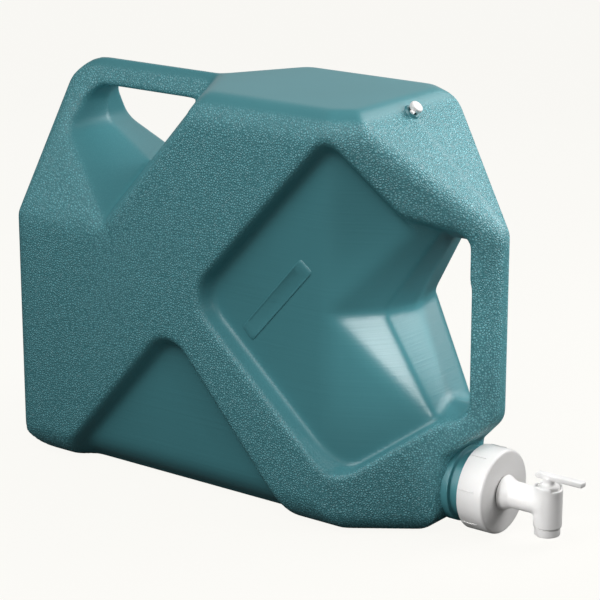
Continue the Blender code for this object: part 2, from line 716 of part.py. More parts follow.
def mirror_near_side(form):
    """Replace the far side of a form by the mirror image of its near side."""
    reach = TANK_LENGTH + TANK_HEIGHT
    far_side = block(form.name + "_far_side", (-reach, 0, -reach), (reach, reach, reach))
    combine(form, far_side, "DIFFERENCE")
    bm = applied(form)
    section = [face for face in bm.faces if all(abs(vert.co.y) < MERGE for vert in face.verts)]
    bmesh.ops.delete(bm, geom=section, context="FACES")
    bmesh.ops.mirror(bm, geom=bm.verts[:] + bm.edges[:] + bm.faces[:], axis="Y", merge_dist=WIDE_MERGE)
    bmesh.ops.recalc_face_normals(bm, faces=bm.faces[:])
    bm.to_mesh(form.data)
    bm.free()


def panel_cutter(name, bounds, inset):
    """One near-side recess: the prism over its rim, less what its floor keeps."""
    cutter = convex(name, bounds + [plane(SIDE, (0, 0, 0))], inset)
    floor_drop = OVERRUN + inset * 2
    floor = convex(name + "_floor", tank_bounds(PANEL_DEPTH, floor_drop), -inset)
    combine(cutter, floor, "DIFFERENCE")
    reach = TANK_LENGTH + TANK_HEIGHT
    grip_x = GRIP_FACE_X + CUTTER_STEP + inset
    grip = block(name + "_grip", (grip_x, -reach, -reach), (reach, reach, reach))
    return combine(cutter, grip, "DIFFERENCE")


def tank_form(name, inset):
    """The tank's shape without its neck, or the hollow inside it."""
    form = convex(name, tank_bounds(), -inset)
    cutters = [
        rear_flank_bounds(inset), rear_opening_bounds(inset), *top_grip_edge_cutters(),
        pocket_bounds(), throat_bounds(inset), *front_grip_edge_cutters()]
    for index, bounds in enumerate(cutters):
        combine(form, convex(name + "_cut_%d" % index, bounds, inset), "DIFFERENCE")
    settle(form)
    combine(form, panel_cutter(name + "_front_panel", front_panel_bounds(), inset), "DIFFERENCE")
    combine(form, panel_cutter(name + "_rear_panel", rear_panel_bounds(), inset), "DIFFERENCE")
    mirror_near_side(form)
    for index, bounds in enumerate([chin_bounds(), *chin_edge_cutters()]):
        combine(form, convex(name + "_chin_%d" % index, bounds, inset), "DIFFERENCE")
    return combine(form, foot_cutter(name + "_foot", inset), "DIFFERENCE")


def thread_ridge(name, radius, height, start_x):
    """A right-hand screw ridge about the neck; a negative height points inwards."""
    bm = bmesh.new()
    sink = math.copysign(THREAD_SINK, height)
    root = THREAD_ROOT_WIDTH / 2
    crest = THREAD_CREST_WIDTH / 2
    section = (
        (radius - sink, -root), (radius, -root), (radius + height, -crest),
        (radius + height, crest), (radius, root), (radius - sink, root))
    rings = []
    count = int(THREAD_STEPS * THREAD_TURNS)
    for step in range(count + 1):
        angle = math.tau * step / THREAD_STEPS
        middle = start_x + THREAD_PITCH * step / THREAD_STEPS
        ring = []
        for reach, offset in section:
            point = (middle + offset, reach * math.cos(angle), NECK_Z + reach * math.sin(angle))
            ring.append(bm.verts.new(point))
        rings.append(ring)
    for before, after in zip(rings, rings[1:]):
        for index in range(len(section)):
            following = (index + 1) % len(section)
            bm.faces.new((before[index], before[following], after[following], after[index]))
    bm.faces.new(rings[0])
    bm.faces.new(rings[-1])
    bmesh.ops.recalc_face_normals(bm, faces=bm.faces[:])
    return add_object(name, bm)


def make_tank(finish):
    """The hollow moulded tank with its threaded neck and vent boss."""
    tank = tank_form("tank_body", 0.0)
    tank.data.materials.append(finish)
    collar_end = NECK_FACE_X + COLLAR_LENGTH
    neck = turned(
        "neck_form",
        [
            (COLLAR_RADIUS, NECK_FACE_X - HALF_WALL), (COLLAR_RADIUS, collar_end - COLLAR_CHAMFER),
            (COLLAR_RADIUS - COLLAR_CHAMFER, collar_end), (NECK_RADIUS, collar_end),
            (NECK_RADIUS, NECK_END_X)],
        NECK_FRAME, solid=True)
    combine(neck, thread_ridge("neck_thread", NECK_RADIUS, THREAD_HEIGHT, THREAD_START_X), "UNION")
    combine(tank, neck, "UNION")
    boss = turned(
        "vent_boss",
        [(VENT_BOSS_RADIUS + VENT_BOSS_SPREAD, -HALF_WALL), (VENT_BOSS_RADIUS, VENT_BOSS_HEIGHT)],
        VENT_FRAME, SMALL_STEPS, solid=True)
    combine(tank, boss, "UNION")
    combine(tank, tank_form("tank_hollow", TANK_WALL), "DIFFERENCE")
    bore = rod("neck_bore", NECK_BORE_RADIUS, NECK_FACE_X - DRILL_DEPTH, NECK_END_X + OVERRUN, NECK_FRAME)
    combine(tank, bore, "DIFFERENCE")
    vent = rod(
        "vent_hole", VENT_HOLE_RADIUS, -DRILL_DEPTH, VENT_BOSS_HEIGHT + OVERRUN, VENT_FRAME, SMALL_STEPS)
    combine(tank, vent, "DIFFERENCE")
    return tank


def make_cap(finish):
    """The screw cap: a ribbed skirt, a flat face and a thread inside."""
    outer = CAP_RADIUS
    edge = CAP_EDGE_ROUND
    back = edge * ARC_MIDDLE_SHARE
    cap = turned(
        "screw_cap",
        [
            (CAP_BORE_RADIUS, CAP_BACK_X), (outer, CAP_BACK_X), (outer, CAP_FACE_X - edge),
            (outer - back, CAP_FACE_X - back), (outer - edge, CAP_FACE_X),
            (CAP_HOLE_RADIUS, CAP_FACE_X), (CAP_HOLE_RADIUS, CAP_INNER_X), (CAP_BORE_RADIUS, CAP_INNER_X)],
        NECK_FRAME, CAP_STEPS, finish)
    ribs = []
    for index in range(CAP_RIB_COUNT):
        turn = Matrix.Rotation(math.tau * (index + 0.5) / CAP_RIB_COUNT, 4, "Z")
        half = CAP_RIB_WIDTH / 2
        rib = block(
            "rib", (outer - CAP_RIB_HEIGHT, -half, CAP_BACK_X + SEAT_GAP),
            (outer + CAP_RIB_HEIGHT, half, CAP_BACK_X + CAP_LENGTH * CAP_RIB_SHARE), NECK_FRAME @ turn)
        ribs.append(rib)
    combine(cap, joined("cap_ribs", ribs), "UNION")
    start_x = THREAD_START_X - THREAD_ROOT_WIDTH - THREAD_FLANK_GAP
    combine(cap, thread_ridge("cap_thread", CAP_BORE_RADIUS, -THREAD_HEIGHT, start_x), "UNION")
    return cap


def make_cap_gasket(finish):
    """The flat ring that seals the cap on the end of the neck."""
    low = NECK_END_X + SEAT_GAP
    high = low + CAP_GASKET_THICKNESS
    outer = CAP_BORE_RADIUS - LOOSE_GAP
    inner = NECK_BORE_RADIUS - CAP_GASKET_OVERHANG
    outline = [(inner, low), (outer, low), (outer, high), (inner, high)]
    return turned("cap_gasket", outline, NECK_FRAME, ROUND_STEPS, finish)


def make_tap_body(finish):
    """The tap's moulding: a threaded shank, a hub, a stem and the barrel."""
    nut_front = CAP_INNER_X - SEAT_GAP
    shank_end = nut_front - NUT_THICKNESS - SHANK_TAIL
    body = turned(
        "tap_body",
        [
            (SHANK_RADIUS, shank_end), (SHANK_RADIUS, HUB_BACK_X),
            (HUB_RADIUS, HUB_BACK_X), (HUB_RADIUS, HUB_BACK_X + HUB_RIM_LENGTH),
            (HUB_WAIST_RADIUS, HUB_BACK_X + HUB_WAIST_LENGTH),
            (STEM_RADIUS, HUB_FRONT_X), (STEM_RADIUS, BARREL_X - STEM_SETBACK)],
        NECK_FRAME, ROUND_STEPS, finish, solid=True)
    barrel = rod("barrel_form", BARREL_RADIUS, BARREL_BOTTOM_Z, BARREL_TOP_Z, BARREL_FRAME)
    combine(body, barrel, "UNION")
    bore = rod(
        "barrel_bore", BARREL_BORE_RADIUS, BARREL_BOTTOM_Z - OVERRUN, BARREL_TOP_Z + OVERRUN, BARREL_FRAME)
    combine(body, bore, "DIFFERENCE")
    way = rod("stem_bore", STEM_BORE_RADIUS, shank_end - OVERRUN, BARREL_X, NECK_FRAME, SMALL_STEPS)
    combine(body, way, "DIFFERENCE")
    reach = BARREL_RADIUS + OVERRUN
    half = STOP_WIDTH / 2
    quarter = block(
        "stop_quarter", (-half, -half, BARREL_TOP_Z - STOP_DEPTH), (reach, reach, BARREL_TOP_Z + OVERRUN),
        BARREL_FRAME)
    return combine(body, quarter, "DIFFERENCE")


def make_tap_gasket(finish):
    """The soft washer between the cap's face and the tap's hub."""
    low = CAP_FACE_X + SEAT_GAP
    high = low + TAP_GASKET_THICKNESS
    inner = SHANK_RADIUS + SEAT_GAP
    outer = HUB_RADIUS - TAP_GASKET_SETBACK
    outline = [(inner, low), (outer, low), (outer, high), (inner, high)]
    return turned("tap_gasket", outline, NECK_FRAME, ROUND_STEPS, finish)


def make_tap_nut(finish):
    """The six-sided nut that holds the tap inside the cap."""
    high = CAP_INNER_X - SEAT_GAP
    low = high - NUT_THICKNESS
    inner = SHANK_RADIUS + SEAT_GAP
    nut = turned(
        "tap_nut", [(NUT_RADIUS, low), (NUT_RADIUS, high)], NECK_FRAME, NUT_SIDES, finish, solid=True)
    bore = rod("tap_nut_bore", inner, low - OVERRUN, high + OVERRUN, NECK_FRAME)
    return combine(nut, bore, "DIFFERENCE")


def make_plug(finish):
    """The turning plug: a hollow core with one side port, a post and the lever."""
    crown_low = BARREL_TOP_Z - PLUG_CROWN_THICKNESS
    groove = PLUG_RADIUS - RING_GROOVE_DEPTH
    half = RING_THICKNESS / 2 + SEAT_GAP
    low_ring = BARREL_BOTTOM_Z + RING_SETBACK
    high_ring = BARREL_TOP_Z - RING_SETBACK
    lever_middle_z = LEVER_BOTTOM_Z + LEVER_THICKNESS / 2
    plug = turned(
        "tap_plug",
        [
            (NOZZLE_SEAT_RADIUS, NOZZLE_BOTTOM_Z + NOZZLE_LIP),
            (NOZZLE_SEAT_RADIUS, NOZZLE_TOP_Z), (PLUG_RADIUS, NOZZLE_TOP_Z),
            (PLUG_RADIUS, low_ring - half), (groove, low_ring - half), (groove, low_ring + half),
            (PLUG_RADIUS, low_ring + half), (PLUG_RADIUS, high_ring - half), (groove, high_ring - half),
            (groove, high_ring + half), (PLUG_RADIUS, high_ring + half), (PLUG_RADIUS, BARREL_TOP_Z),
            (LEVER_POST_RADIUS + LEVER_POST_FLARE, BARREL_TOP_Z + PLUG_TOP_CHAMFER),
            (LEVER_POST_RADIUS, LEVER_BOTTOM_Z), (LEVER_POST_TIP_RADIUS, lever_middle_z)],
        BARREL_FRAME, ROUND_STEPS, finish, solid=True)
    combine(plug, rod("plug_bore", PLUG_BORE_RADIUS, NOZZLE_BOTTOM_Z, crown_low, BARREL_FRAME), "DIFFERENCE")
    port = rod(
        "plug_port", PORT_RADIUS, 0, PLUG_RADIUS + OVERRUN,
        frame_along(Vector((BARREL_X, 0, NECK_Z)), SIDE), SMALL_STEPS)
    combine(plug, port, "DIFFERENCE")
    bm = bmesh.new()
    bmesh.ops.create_cube(bm, size=1.0)
    middle = Vector((BARREL_X - LEVER_HEEL + LEVER_LENGTH / 2, 0, lever_middle_z))
    size = Matrix.Diagonal((LEVER_LENGTH, LEVER_WIDTH, LEVER_THICKNESS, 1.0))
    bmesh.ops.transform(bm, matrix=Matrix.Translation(middle) @ size, verts=bm.verts[:])
    bmesh.ops.bevel(
        bm, geom=bm.edges[:], offset=LEVER_BEND_RADIUS, segments=2, profile=LEVER_BEND_PROFILE, affect="EDGES")
    combine(plug, add_object("lever_bar", bm), "UNION")
    tab_half = STOP_WIDTH / 2 - PLUG_CLEARANCE
    tab = block(
        "stop_tab", (STOP_ROOT_RADIUS, -tab_half, BARREL_TOP_Z - STOP_DEPTH + PLUG_CLEARANCE),
        (BARREL_RADIUS - PLUG_CLEARANCE, tab_half, BARREL_TOP_Z - STOP_TOP_SETBACK), BARREL_FRAME)
    combine(plug, tab, "UNION")
    return plug


def make_ring(name, major, thickness, height, frame, finish):
    """A round sealing ring of circular section."""
    radius = thickness / 2
    outline = []
    for step in range(RING_SECTION_STEPS):
        angle = math.tau * step / RING_SECTION_STEPS
        outline.append((major + radius * math.cos(angle), height + radius * math.sin(angle)))
    return turned(name, outline, frame, ROUND_STEPS, finish)


def make_plug_rings(finish):
    """The two sealing rings in the plug's grooves."""
    major = PLUG_RADIUS - RING_GROOVE_DEPTH + SEAT_GAP + RING_THICKNESS / 2
    make_ring("plug_ring_upper", major, RING_THICKNESS, BARREL_TOP_Z - RING_SETBACK, BARREL_FRAME, finish)
    make_ring("plug_ring_lower", major, RING_THICKNESS, BARREL_BOTTOM_Z + RING_SETBACK, BARREL_FRAME, finish)


def make_nozzle(finish):
    """The collar under the barrel that keeps the plug in and guides the flow."""
    inner = NOZZLE_SEAT_RADIUS + SEAT_GAP
    lip_top = NOZZLE_BOTTOM_Z + NOZZLE_LIP - SEAT_GAP
    outline = [
        (PLUG_BORE_RADIUS, NOZZLE_BOTTOM_Z), (NOZZLE_RADIUS - NOZZLE_LIP, NOZZLE_BOTTOM_Z),
        (NOZZLE_RADIUS, NOZZLE_BOTTOM_Z + NOZZLE_LIP), (NOZZLE_RADIUS, NOZZLE_TOP_Z),
        (inner, NOZZLE_TOP_Z), (inner, lip_top), (PLUG_BORE_RADIUS, lip_top)]
    return turned("outlet_collar", outline, BARREL_FRAME, ROUND_STEPS, finish)


def make_vent(finish, rubber):
    """The pull-out vent plug with its finger tab, and its sealing ring."""
    stem_end = VENT_SEAT - VENT_STEM_LENGTH
    top = VENT_SEAT + VENT_HEAD_HEIGHT
    plug = turned(
        "vent_plug",
        [
            (VENT_STEM_TIP_RADIUS, stem_end), (VENT_STEM_RADIUS, stem_end + VENT_STEM_CHAMFER),
            (VENT_STEM_RADIUS, VENT_SEAT), (VENT_HEAD_RADIUS, VENT_SEAT),
            (VENT_HEAD_RADIUS, top - VENT_HEAD_BEVEL), (VENT_CROWN_RADIUS, top)],
        VENT_FRAME, SMALL_STEPS, finish, solid=True)
    half = VENT_TAB_WIDTH / 2
    turn = Matrix.Rotation(VENT_TAB_ANGLE, 4, "Z")
    low = VENT_SEAT + SEAT_GAP
    tab = block(
        "vent_tab", (0.0, -half, low), (VENT_TAB_LENGTH, half, low + VENT_TAB_THICKNESS),
        VENT_FRAME @ turn)
    combine(plug, tab, "UNION")
    major = VENT_STEM_RADIUS + SEAT_GAP + VENT_RING_THICKNESS / 2
    height = VENT_BOSS_HEIGHT + SEAT_GAP + VENT_RING_THICKNESS / 2
    make_ring("vent_ring", major, VENT_RING_THICKNESS, height, VENT_FRAME, rubber)


def main():
    """Build every piece of the container."""
    clear_scene()
    moulded = material("teal_polyethylene", TEAL, TEAL_ROUGHNESS)
    white = material("white_polypropylene", WHITE, WHITE_ROUGHNESS)
    rubber = material("black_rubber", BLACK_RUBBER, RUBBER_ROUGHNESS)
    foam = material("grey_foam", GREY_FOAM, FOAM_ROUGHNESS)
    make_tank(moulded)
    make_cap(white)
    make_cap_gasket(foam)
    make_tap_body(white)
    make_tap_gasket(rubber)
    make_tap_nut(white)
    make_plug(white)
    make_plug_rings(rubber)
    make_nozzle(white)
    make_vent(white, rubber)


main()
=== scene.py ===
"""Looks of a camping water container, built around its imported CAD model.

Laid out as an add-on: each piece of the container has an operator, and the
settings hold what a user would change. All sizes are in metres, in the frame
of the CAD model: +X points out of the neck, +Z is up, and the photographed
side faces -Y. The tank's form is a distance field of planes and fillets that
follow the CAD model's, so that every edge is a true rounding.
"""

import math

import bmesh
import bpy
import numpy as np
from mathutils import Matrix, Vector


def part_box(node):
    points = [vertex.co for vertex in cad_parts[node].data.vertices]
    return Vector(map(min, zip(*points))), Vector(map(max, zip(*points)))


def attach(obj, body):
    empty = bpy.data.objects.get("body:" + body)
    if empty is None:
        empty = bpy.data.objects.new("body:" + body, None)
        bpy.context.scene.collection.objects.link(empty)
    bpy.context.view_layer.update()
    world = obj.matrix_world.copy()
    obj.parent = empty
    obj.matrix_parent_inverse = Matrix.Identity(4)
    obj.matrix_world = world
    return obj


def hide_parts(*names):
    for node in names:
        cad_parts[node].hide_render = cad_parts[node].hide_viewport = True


bl_info = {
    "name": "Water container",
    "version": (1, 0, 0),
    "blender": (4, 5, 0),
    "location": "3D View > Sidebar > Container",
    "description": "Builds a camping water container with a screw cap, a lever tap and a vent plug",
    "category": "Add Mesh",
}

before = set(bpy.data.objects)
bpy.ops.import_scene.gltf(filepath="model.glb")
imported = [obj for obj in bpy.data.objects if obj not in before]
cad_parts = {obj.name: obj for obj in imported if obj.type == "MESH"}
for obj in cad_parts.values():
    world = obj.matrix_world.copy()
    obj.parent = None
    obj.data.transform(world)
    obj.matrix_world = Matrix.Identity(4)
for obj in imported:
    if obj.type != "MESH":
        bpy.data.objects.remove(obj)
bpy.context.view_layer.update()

# Edges that turn more than this stay sharp
SHARP_ANGLE = math.radians(40)

# Tank, as in the CAD model
HALF_LENGTH = 0.253
HALF_WIDTH = 0.100
TANK_HEIGHT = 0.390
CREASE_X = 0.125
NOSE_HALF_WIDTH = 0.010
GRIP_FACE_X = 0.2285
SLOPE_TOP_X = 0.139
SLOPE_FOOT_Z = 0.286
CHIN_TOP_Z = 0.109
NECK_FACE_X = 0.213
CHIN_FOOT_Z = 0.073
FOLD_Z = 0.247
FOLD_RUN = 0.675
SLOPE_NORMAL = Vector((TANK_HEIGHT - SLOPE_FOOT_Z, 0.0, HALF_LENGTH - SLOPE_TOP_X)).normalized()
SLOPE_DOWN = Vector((HALF_LENGTH - SLOPE_TOP_X, 0.0, SLOPE_FOOT_Z - TANK_HEIGHT)).normalized()

# Roundings of the tank's edges and corners, and the blur of its field in grid steps
TOP_EDGE = 0.030
BASE_EDGE = 0.033
BACK_EDGE = 0.018
BACK_CORNER = 0.045
CREASE_EDGE = 0.040
SLOPE_EDGE = 0.020
NOSE_EDGE = 0.017
NOSE_BASE = 0.020
GRIP_CORNER = 0.030
CHIN_EDGE = 0.020
FOOT_EDGE = 0.030
FLANK_FOOT = 0.010
NECK_RECESS = 0.010
RECESS_RIM = 0.006
TANK_SPREAD = 0.6

# Both openings. The rounding of the pocket's rim grows to the grip's over a span of x
REAR_CORNER = 0.018
REAR_FOLD_SETBACK = 0.020
POCKET_CORNER = 0.010
POCKET_RIM = 0.0035
GRIP_RIM_SPAN = (0.200, 0.222)

# Recessed panels. A wall has an (x, z) point of the rim, the way the rim runs, its
# outward side and its draft in degrees; a corner has its two walls and its radius.
# Below PANEL_FOOT_Z the floor of a panel runs straight down
PANEL_DEPTH = 0.017
PANEL_TAPER_RUN = 0.585
PANEL_TAPER_HALF_WIDTH = 0.0792
PANEL_FLOOR_EDGE = 0.0025
PANEL_FOOT_Z = 0.005
FRONT_PANEL_WALLS = (
    ((-0.032, 0.199), (0.159, 0.171), (-1, 0, 1), 18), ((-0.032, 0.199), (0.167, -0.149), (-1, 0, -1), 18),
    ((0.127, 0.370), (1, -0.726), (0, 0, 1), 32.4), ((0.135, 0.050), (1, 0.633), (0, 0, -1), 9))
FRONT_PANEL_CORNERS = ((0, 1, 0.034), (0, 2, 0.014), (1, 3, 0.014))
REAR_PANEL_WALLS = (
    ((-0.0575, 0.166), (-1, -1.13), (-1, 0, 1), 27), ((-0.0575, 0.166), (1, -1.13), (1, 0, 1), 18))
REAR_PANEL_CORNERS = ((0, 1, 0.030),)

# Pebble grain: where it fades in beside recesses, under the top and at the seam
GRAIN_FADE = (-0.0005, 0.0025)
GRAIN_TOP_FADE = 0.006
SEAM_FADE = (0.0015, 0.0030)
SEAM_SHARE = 0.5

# Blank plate: (x, z) corners on the panel's floor, and the inset and rise of its steps
PLATE_CORNERS = ((0.021, 0.175), (0.033, 0.163), (0.103, 0.241), (0.089, 0.252))
PLATE_STEPS = ((0.0, -0.0005), (0.0002, 0.0006), (0.0007, 0.0009), (0.0014, 0.0009), (0.0019, 0.0002))
PLATE_HALF_WIDTH = 0.0085
PLATE_ROUNDING = 0.0035
PLATE_SHARP_ANGLE = math.radians(60)

# Neck and cap. The corner of an outline has a radius, a place on its axis and a rounding
NECK_Z = 0.0415
NECK_RADIUS = 0.0310
NECK_END_X = 0.2519
NECK_OUTLINE = (
    (0.0275, 0.2090, 0), (0.0355, 0.2090, 0), (0.0355, 0.2190, 0.0012), (NECK_RADIUS, 0.2190, 0.0015),
    (NECK_RADIUS, NECK_END_X, 0.0008), (0.0275, NECK_END_X, 0.0008))
THREAD_PITCH = 0.008
THREAD_TURNS = 1.5
THREAD_SETBACK = 0.0154
THREAD_LIFT = 0.0004
THREAD_HEIGHT = 0.0018
THREAD_ROOT_WIDTH = 0.0030
THREAD_CREST_WIDTH = 0.0014
CAP_BACK_X = 0.2313
CAP_FACE_X = 0.2578
CAP_RADIUS = 0.0393
CAP_OUTLINE = (
    (0.0334, CAP_BACK_X, 0.0006), (CAP_RADIUS, CAP_BACK_X, 0.0008), (CAP_RADIUS, CAP_FACE_X, 0.0030),
    (0.0095, CAP_FACE_X, 0.0004), (0.0095, 0.2550, 0), (0.0334, 0.2550, 0.0015))
RIB_COUNT = 7
RIB_LENGTH = 0.01643
RIB_SETBACK = 0.0008
RIB_DEPTH_SHARE = 2.4
RIB_SINK_SHARE = 0.2
RIB_BEVEL_SHARE = 0.5

# Tap and plug. A round bar has a radius, a low and a high end and a rounding, a box
# has a middle, its half sizes and a rounding, a grid has its low and high corner and
# its step, and the shank has (x, radius) points
BARREL_X = 0.304
BARREL_BOTTOM_Z = 0.0197
BARREL_TOP_Z = 0.0590
BARREL = (0.0130, BARREL_BOTTOM_Z, BARREL_TOP_Z, 0.0008)
BARREL_BORE = (0.0103, 0.0097, 0.0690, 0.0)
SHANK_END_X = 0.2457
HUB_RADIUS = 0.0165
SHANK_PROFILE = (
    (SHANK_END_X, 0.0090), (0.2581, 0.0090), (0.25811, HUB_RADIUS), (0.2598, HUB_RADIUS),
    (0.2625, 0.0150), (0.2655, 0.0136), (0.2690, 0.0124), (BARREL_X, 0.0124))
SHANK_WELD = 0.0025
SHANK_BORE_RADIUS = 0.0060
STOP_WINDOW = ((0.313, 0, BARREL_TOP_Z), (0.009, 0.009, 0.0030), 0.0005)
TAP_GRID = ((SHANK_END_X, -HUB_RADIUS, BARREL_BOTTOM_Z), (0.317, HUB_RADIUS, BARREL_TOP_Z), 0.0006)
NOZZLE_BOTTOM_Z = 0.0120
PLUG_BORE_RADIUS = 0.0070
PLUG_CROWN_Z = 0.0530
PLUG_CORE = (0.0100, BARREL_BOTTOM_Z, BARREL_TOP_Z, 0.0008)
PLUG_TAIL = (0.0090, 0.0130, 0.0490, 0.0)
LEVER_POST = (0.0052, 0.0550, 0.0665, 0.0)
LEVER_BAR = ((0.316, 0, 0.0671), (0.024, 0.00425, 0.0026), 0.0014)
POST_WELD = 0.003
LEVER_WELD = 0.0012
PLUG_GRID = ((0.2920, -0.0105, NOZZLE_BOTTOM_Z), (0.3400, 0.0105, 0.0697), 0.0005)
NOZZLE_OUTLINE = (
    (PLUG_BORE_RADIUS, NOZZLE_BOTTOM_Z, 0.0002), (0.0118, NOZZLE_BOTTOM_Z, 0.0010), (0.0118, 0.0194, 0.0006),
    (0.0093, 0.0194, 0.0003), (0.0093, 0.0127, 0), (PLUG_BORE_RADIUS, 0.0127, 0.0002))
BORE_EDGE = 0.0005
WINDOW_EDGE = 0.0004
FLOW_EDGE = 0.0003

# Vent plug and the boss that it sits in, about the vent's own axis
VENT_POINT = Vector((SLOPE_TOP_X, 0, TANK_HEIGHT)) + SLOPE_DOWN * 0.016
BOSS_OUTLINE = ((0.0036, -0.001, 0), (0.0086, -0.001, 0), (0.0068, 0.0020, 0.0006), (0.0036, 0.0020, 0.0003))
VENT_HEAD = (0.0062, 0.0040, 0.0092, 0.0016)
VENT_STEM = (0.0032, -0.0040, 0.0070, 0.0008)
VENT_TAB = ((0.0053, 0, 0.0054), (0.0052, 0.0023, 0.0010), 0.0008)
VENT_TAB_ANGLE = math.radians(-70)
VENT_STEP = 0.0004
STEM_WELD = 0.0004
TAB_WELD = 0.0008

# Camera, fitted to the photograph
CAMERA_TURN = math.radians(37.0)
CAMERA_DROP = math.radians(16.46)
CAMERA_TARGET = Vector((0.02563, 0.0, 0.18195))
CAMERA_DISTANCE = 2.19741
CAMERA_LENS = 139.04

# Floor: its half width, its gap under the tank, its colour to every ray but the
# camera's, and the share of even glow in what the camera sees of it
FLOOR_HALF_WIDTH = 4.0
FLOOR_DROP = 0.0004
FLOOR_SHADE = (0.10, 0.10, 0.098, 1.0)
FLOOR_GLOW_SHARE = 0.95

# Lamps: name, place, the point that it looks at, width and height in metres,
# watts, and the beam's angle in degrees
LAMPS = (
    ("key_lamp", (0.70, 0.48, 0.68), (0.2, 0.0, 0.25), (0.7, 0.7), 6.5, 180),
    ("rear_lamp", (0.46, 0.88, 1.00), (0.15, 0.0, 0.30), (1.0, 1.0), 5.2, 180),
    ("back_lamp", (-0.9, 1.3, 0.75), (0.0, 0.0, 0.39), (1.6, 1.0), 1.8, 180),
    ("kicker_lamp", (0.906, -0.375, 0.472), (0.172, -0.05, 0.172), (0.12, 0.12), 0.030, 12),
    ("fill_lamp", (0.02, -1.02, 1.22), (0.05, -0.1, 0.2), (1.2, 1.2), 12.6, 180),
    ("cap_lamp", (0.16, -0.60, 0.22), (0.288, 0.0, 0.043), (0.02, 0.02), 0.0225, 17))


# Settings

class TankSettings(bpy.types.PropertyGroup):
    """Surface of the moulded tank."""

    mesh_step: bpy.props.FloatProperty(
        name="Mesh step", description="Distance between the points of the tank's surface",
        default=0.0031, min=0.002, max=0.01, unit="LENGTH")
    rim_radius: bpy.props.FloatProperty(
        name="Rim radius", description="Rounding along the rims of the recessed panels",
        default=0.0035, min=0.001, max=0.01, unit="LENGTH")
    grip_radius: bpy.props.FloatProperty(
        name="Grip radius", description="Rounding of the grips' edges",
        default=0.0075, min=0.002, max=0.015, unit="LENGTH")
    grain_size: bpy.props.FloatProperty(
        name="Grain size", description="Width of one pebble of the grain",
        default=0.0023, min=0.0005, max=0.01, unit="LENGTH")
    colour: bpy.props.FloatVectorProperty(
        name="Colour", description="Colour of the moulded plastic",
        default=(0.066, 0.255, 0.288), size=3, min=0.0, max=1.0, subtype="COLOR")


class CapSettings(bpy.types.PropertyGroup):
    """Screw cap and neck."""

    rib_count: bpy.props.IntProperty(
        name="Ribs", description="Number of ribs round the cap's skirt", default=RIB_COUNT, min=3, max=90)
    rib_height: bpy.props.FloatProperty(
        name="Rib height", description="How far a rib stands out of the skirt",
        default=0.0007, min=0.0001, max=0.003, unit="LENGTH")
    rib_width: bpy.props.FloatProperty(
        name="Rib width", description="Width of a rib", default=0.0016, min=0.0005, max=0.005, unit="LENGTH")
    thread_pitch: bpy.props.FloatProperty(
        name="Thread pitch", description="Distance from one turn of the neck's thread to the next",
        default=THREAD_PITCH, min=0.002, max=0.02, unit="LENGTH")
    colour: bpy.props.FloatVectorProperty(
        name="Colour", description="Colour of the cap, the tap and the vent plug",
        default=(0.86, 0.855, 0.85), size=3, min=0.0, max=1.0, subtype="COLOR")


class StudioSettings(bpy.types.PropertyGroup):
    """Backdrop, lamps and camera."""

    backdrop: bpy.props.FloatVectorProperty(
        name="Backdrop", description="Colour of the floor and the backdrop",
        default=(0.983, 0.973, 0.939), size=3, min=0.0, max=1.0, subtype="COLOR")
    surround: bpy.props.FloatProperty(
        name="Surround", description="Strength of the even light from all sides",
        default=0.13, min=0.0, max=3.0)
    lamp_power: bpy.props.FloatProperty(
        name="Lamp power", description="Share of each lamp's own power", default=1.0, min=0.0, max=10.0)


# Small tools

def linear(code):
    """The linear colour of an sRGB hex code, as a shader socket takes it."""
    parts = [int(code[start:start + 2], 16) / 255 for start in (1, 3, 5)]
    return [part / 12.92 if part <= 0.04045 else ((part + 0.055) / 1.055) ** 2.4 for part in parts] + [1.0]


def add_node(tree, kind, inputs=None, **settings):
    """Add a node with its settings, and set or link its inputs by name or place."""
    item = tree.nodes.new(kind)
    for name, value in settings.items():
        setattr(item, name, value)
    for name, value in (inputs or {}).items():
        if isinstance(value, bpy.types.NodeSocket):
            tree.links.new(value, item.inputs[name])
        else:
            item.inputs[name].default_value = value
    return item


def calculated(tree, operation, first, second):
    """The result of one operation on two numbers."""
    return add_node(tree, "ShaderNodeMath", {0: first, 1: second}, operation=operation).outputs[0]


def blended(tree, share, first, second):
    """A colour between two others; the share is the second one's."""
    mix = add_node(tree, "ShaderNodeMix", {"Factor": share, 6: first, 7: second}, data_type="RGBA")
    return mix.outputs[2]


def noise(tree, spot, scale, detail=2.0, roughness=0.5):
    """A cloudy pattern from 0 to 1."""
    inputs = {"Vector": spot, "Scale": scale, "Detail": detail, "Roughness": roughness}
    return add_node(tree, "ShaderNodeTexNoise", inputs).outputs["Fac"]


def bumped(tree, height, strength, distance, **under):
    """A normal bent by a height, over another normal if one is given."""
    inputs = {"Height": height, "Strength": strength, "Distance": distance, **under}
    return add_node(tree, "ShaderNodeBump", inputs).outputs[0]


def new_finish(name):
    """An empty node material and its tree."""
    finish = bpy.data.materials.new(name)
    finish.use_nodes = True
    finish.node_tree.nodes.clear()
    return finish, finish.node_tree


def own_spot(tree):
    """The object's own coordinates."""
    return add_node(tree, "ShaderNodeTexCoord").outputs["Object"]


def surfaced(finish, inputs):
    """The material, once a principled shader with these inputs is its surface."""
    shader = add_node(finish.node_tree, "ShaderNodeBsdfPrincipled", inputs)
    add_node(finish.node_tree, "ShaderNodeOutputMaterial", {"Surface": shader.outputs[0]})
    return finish


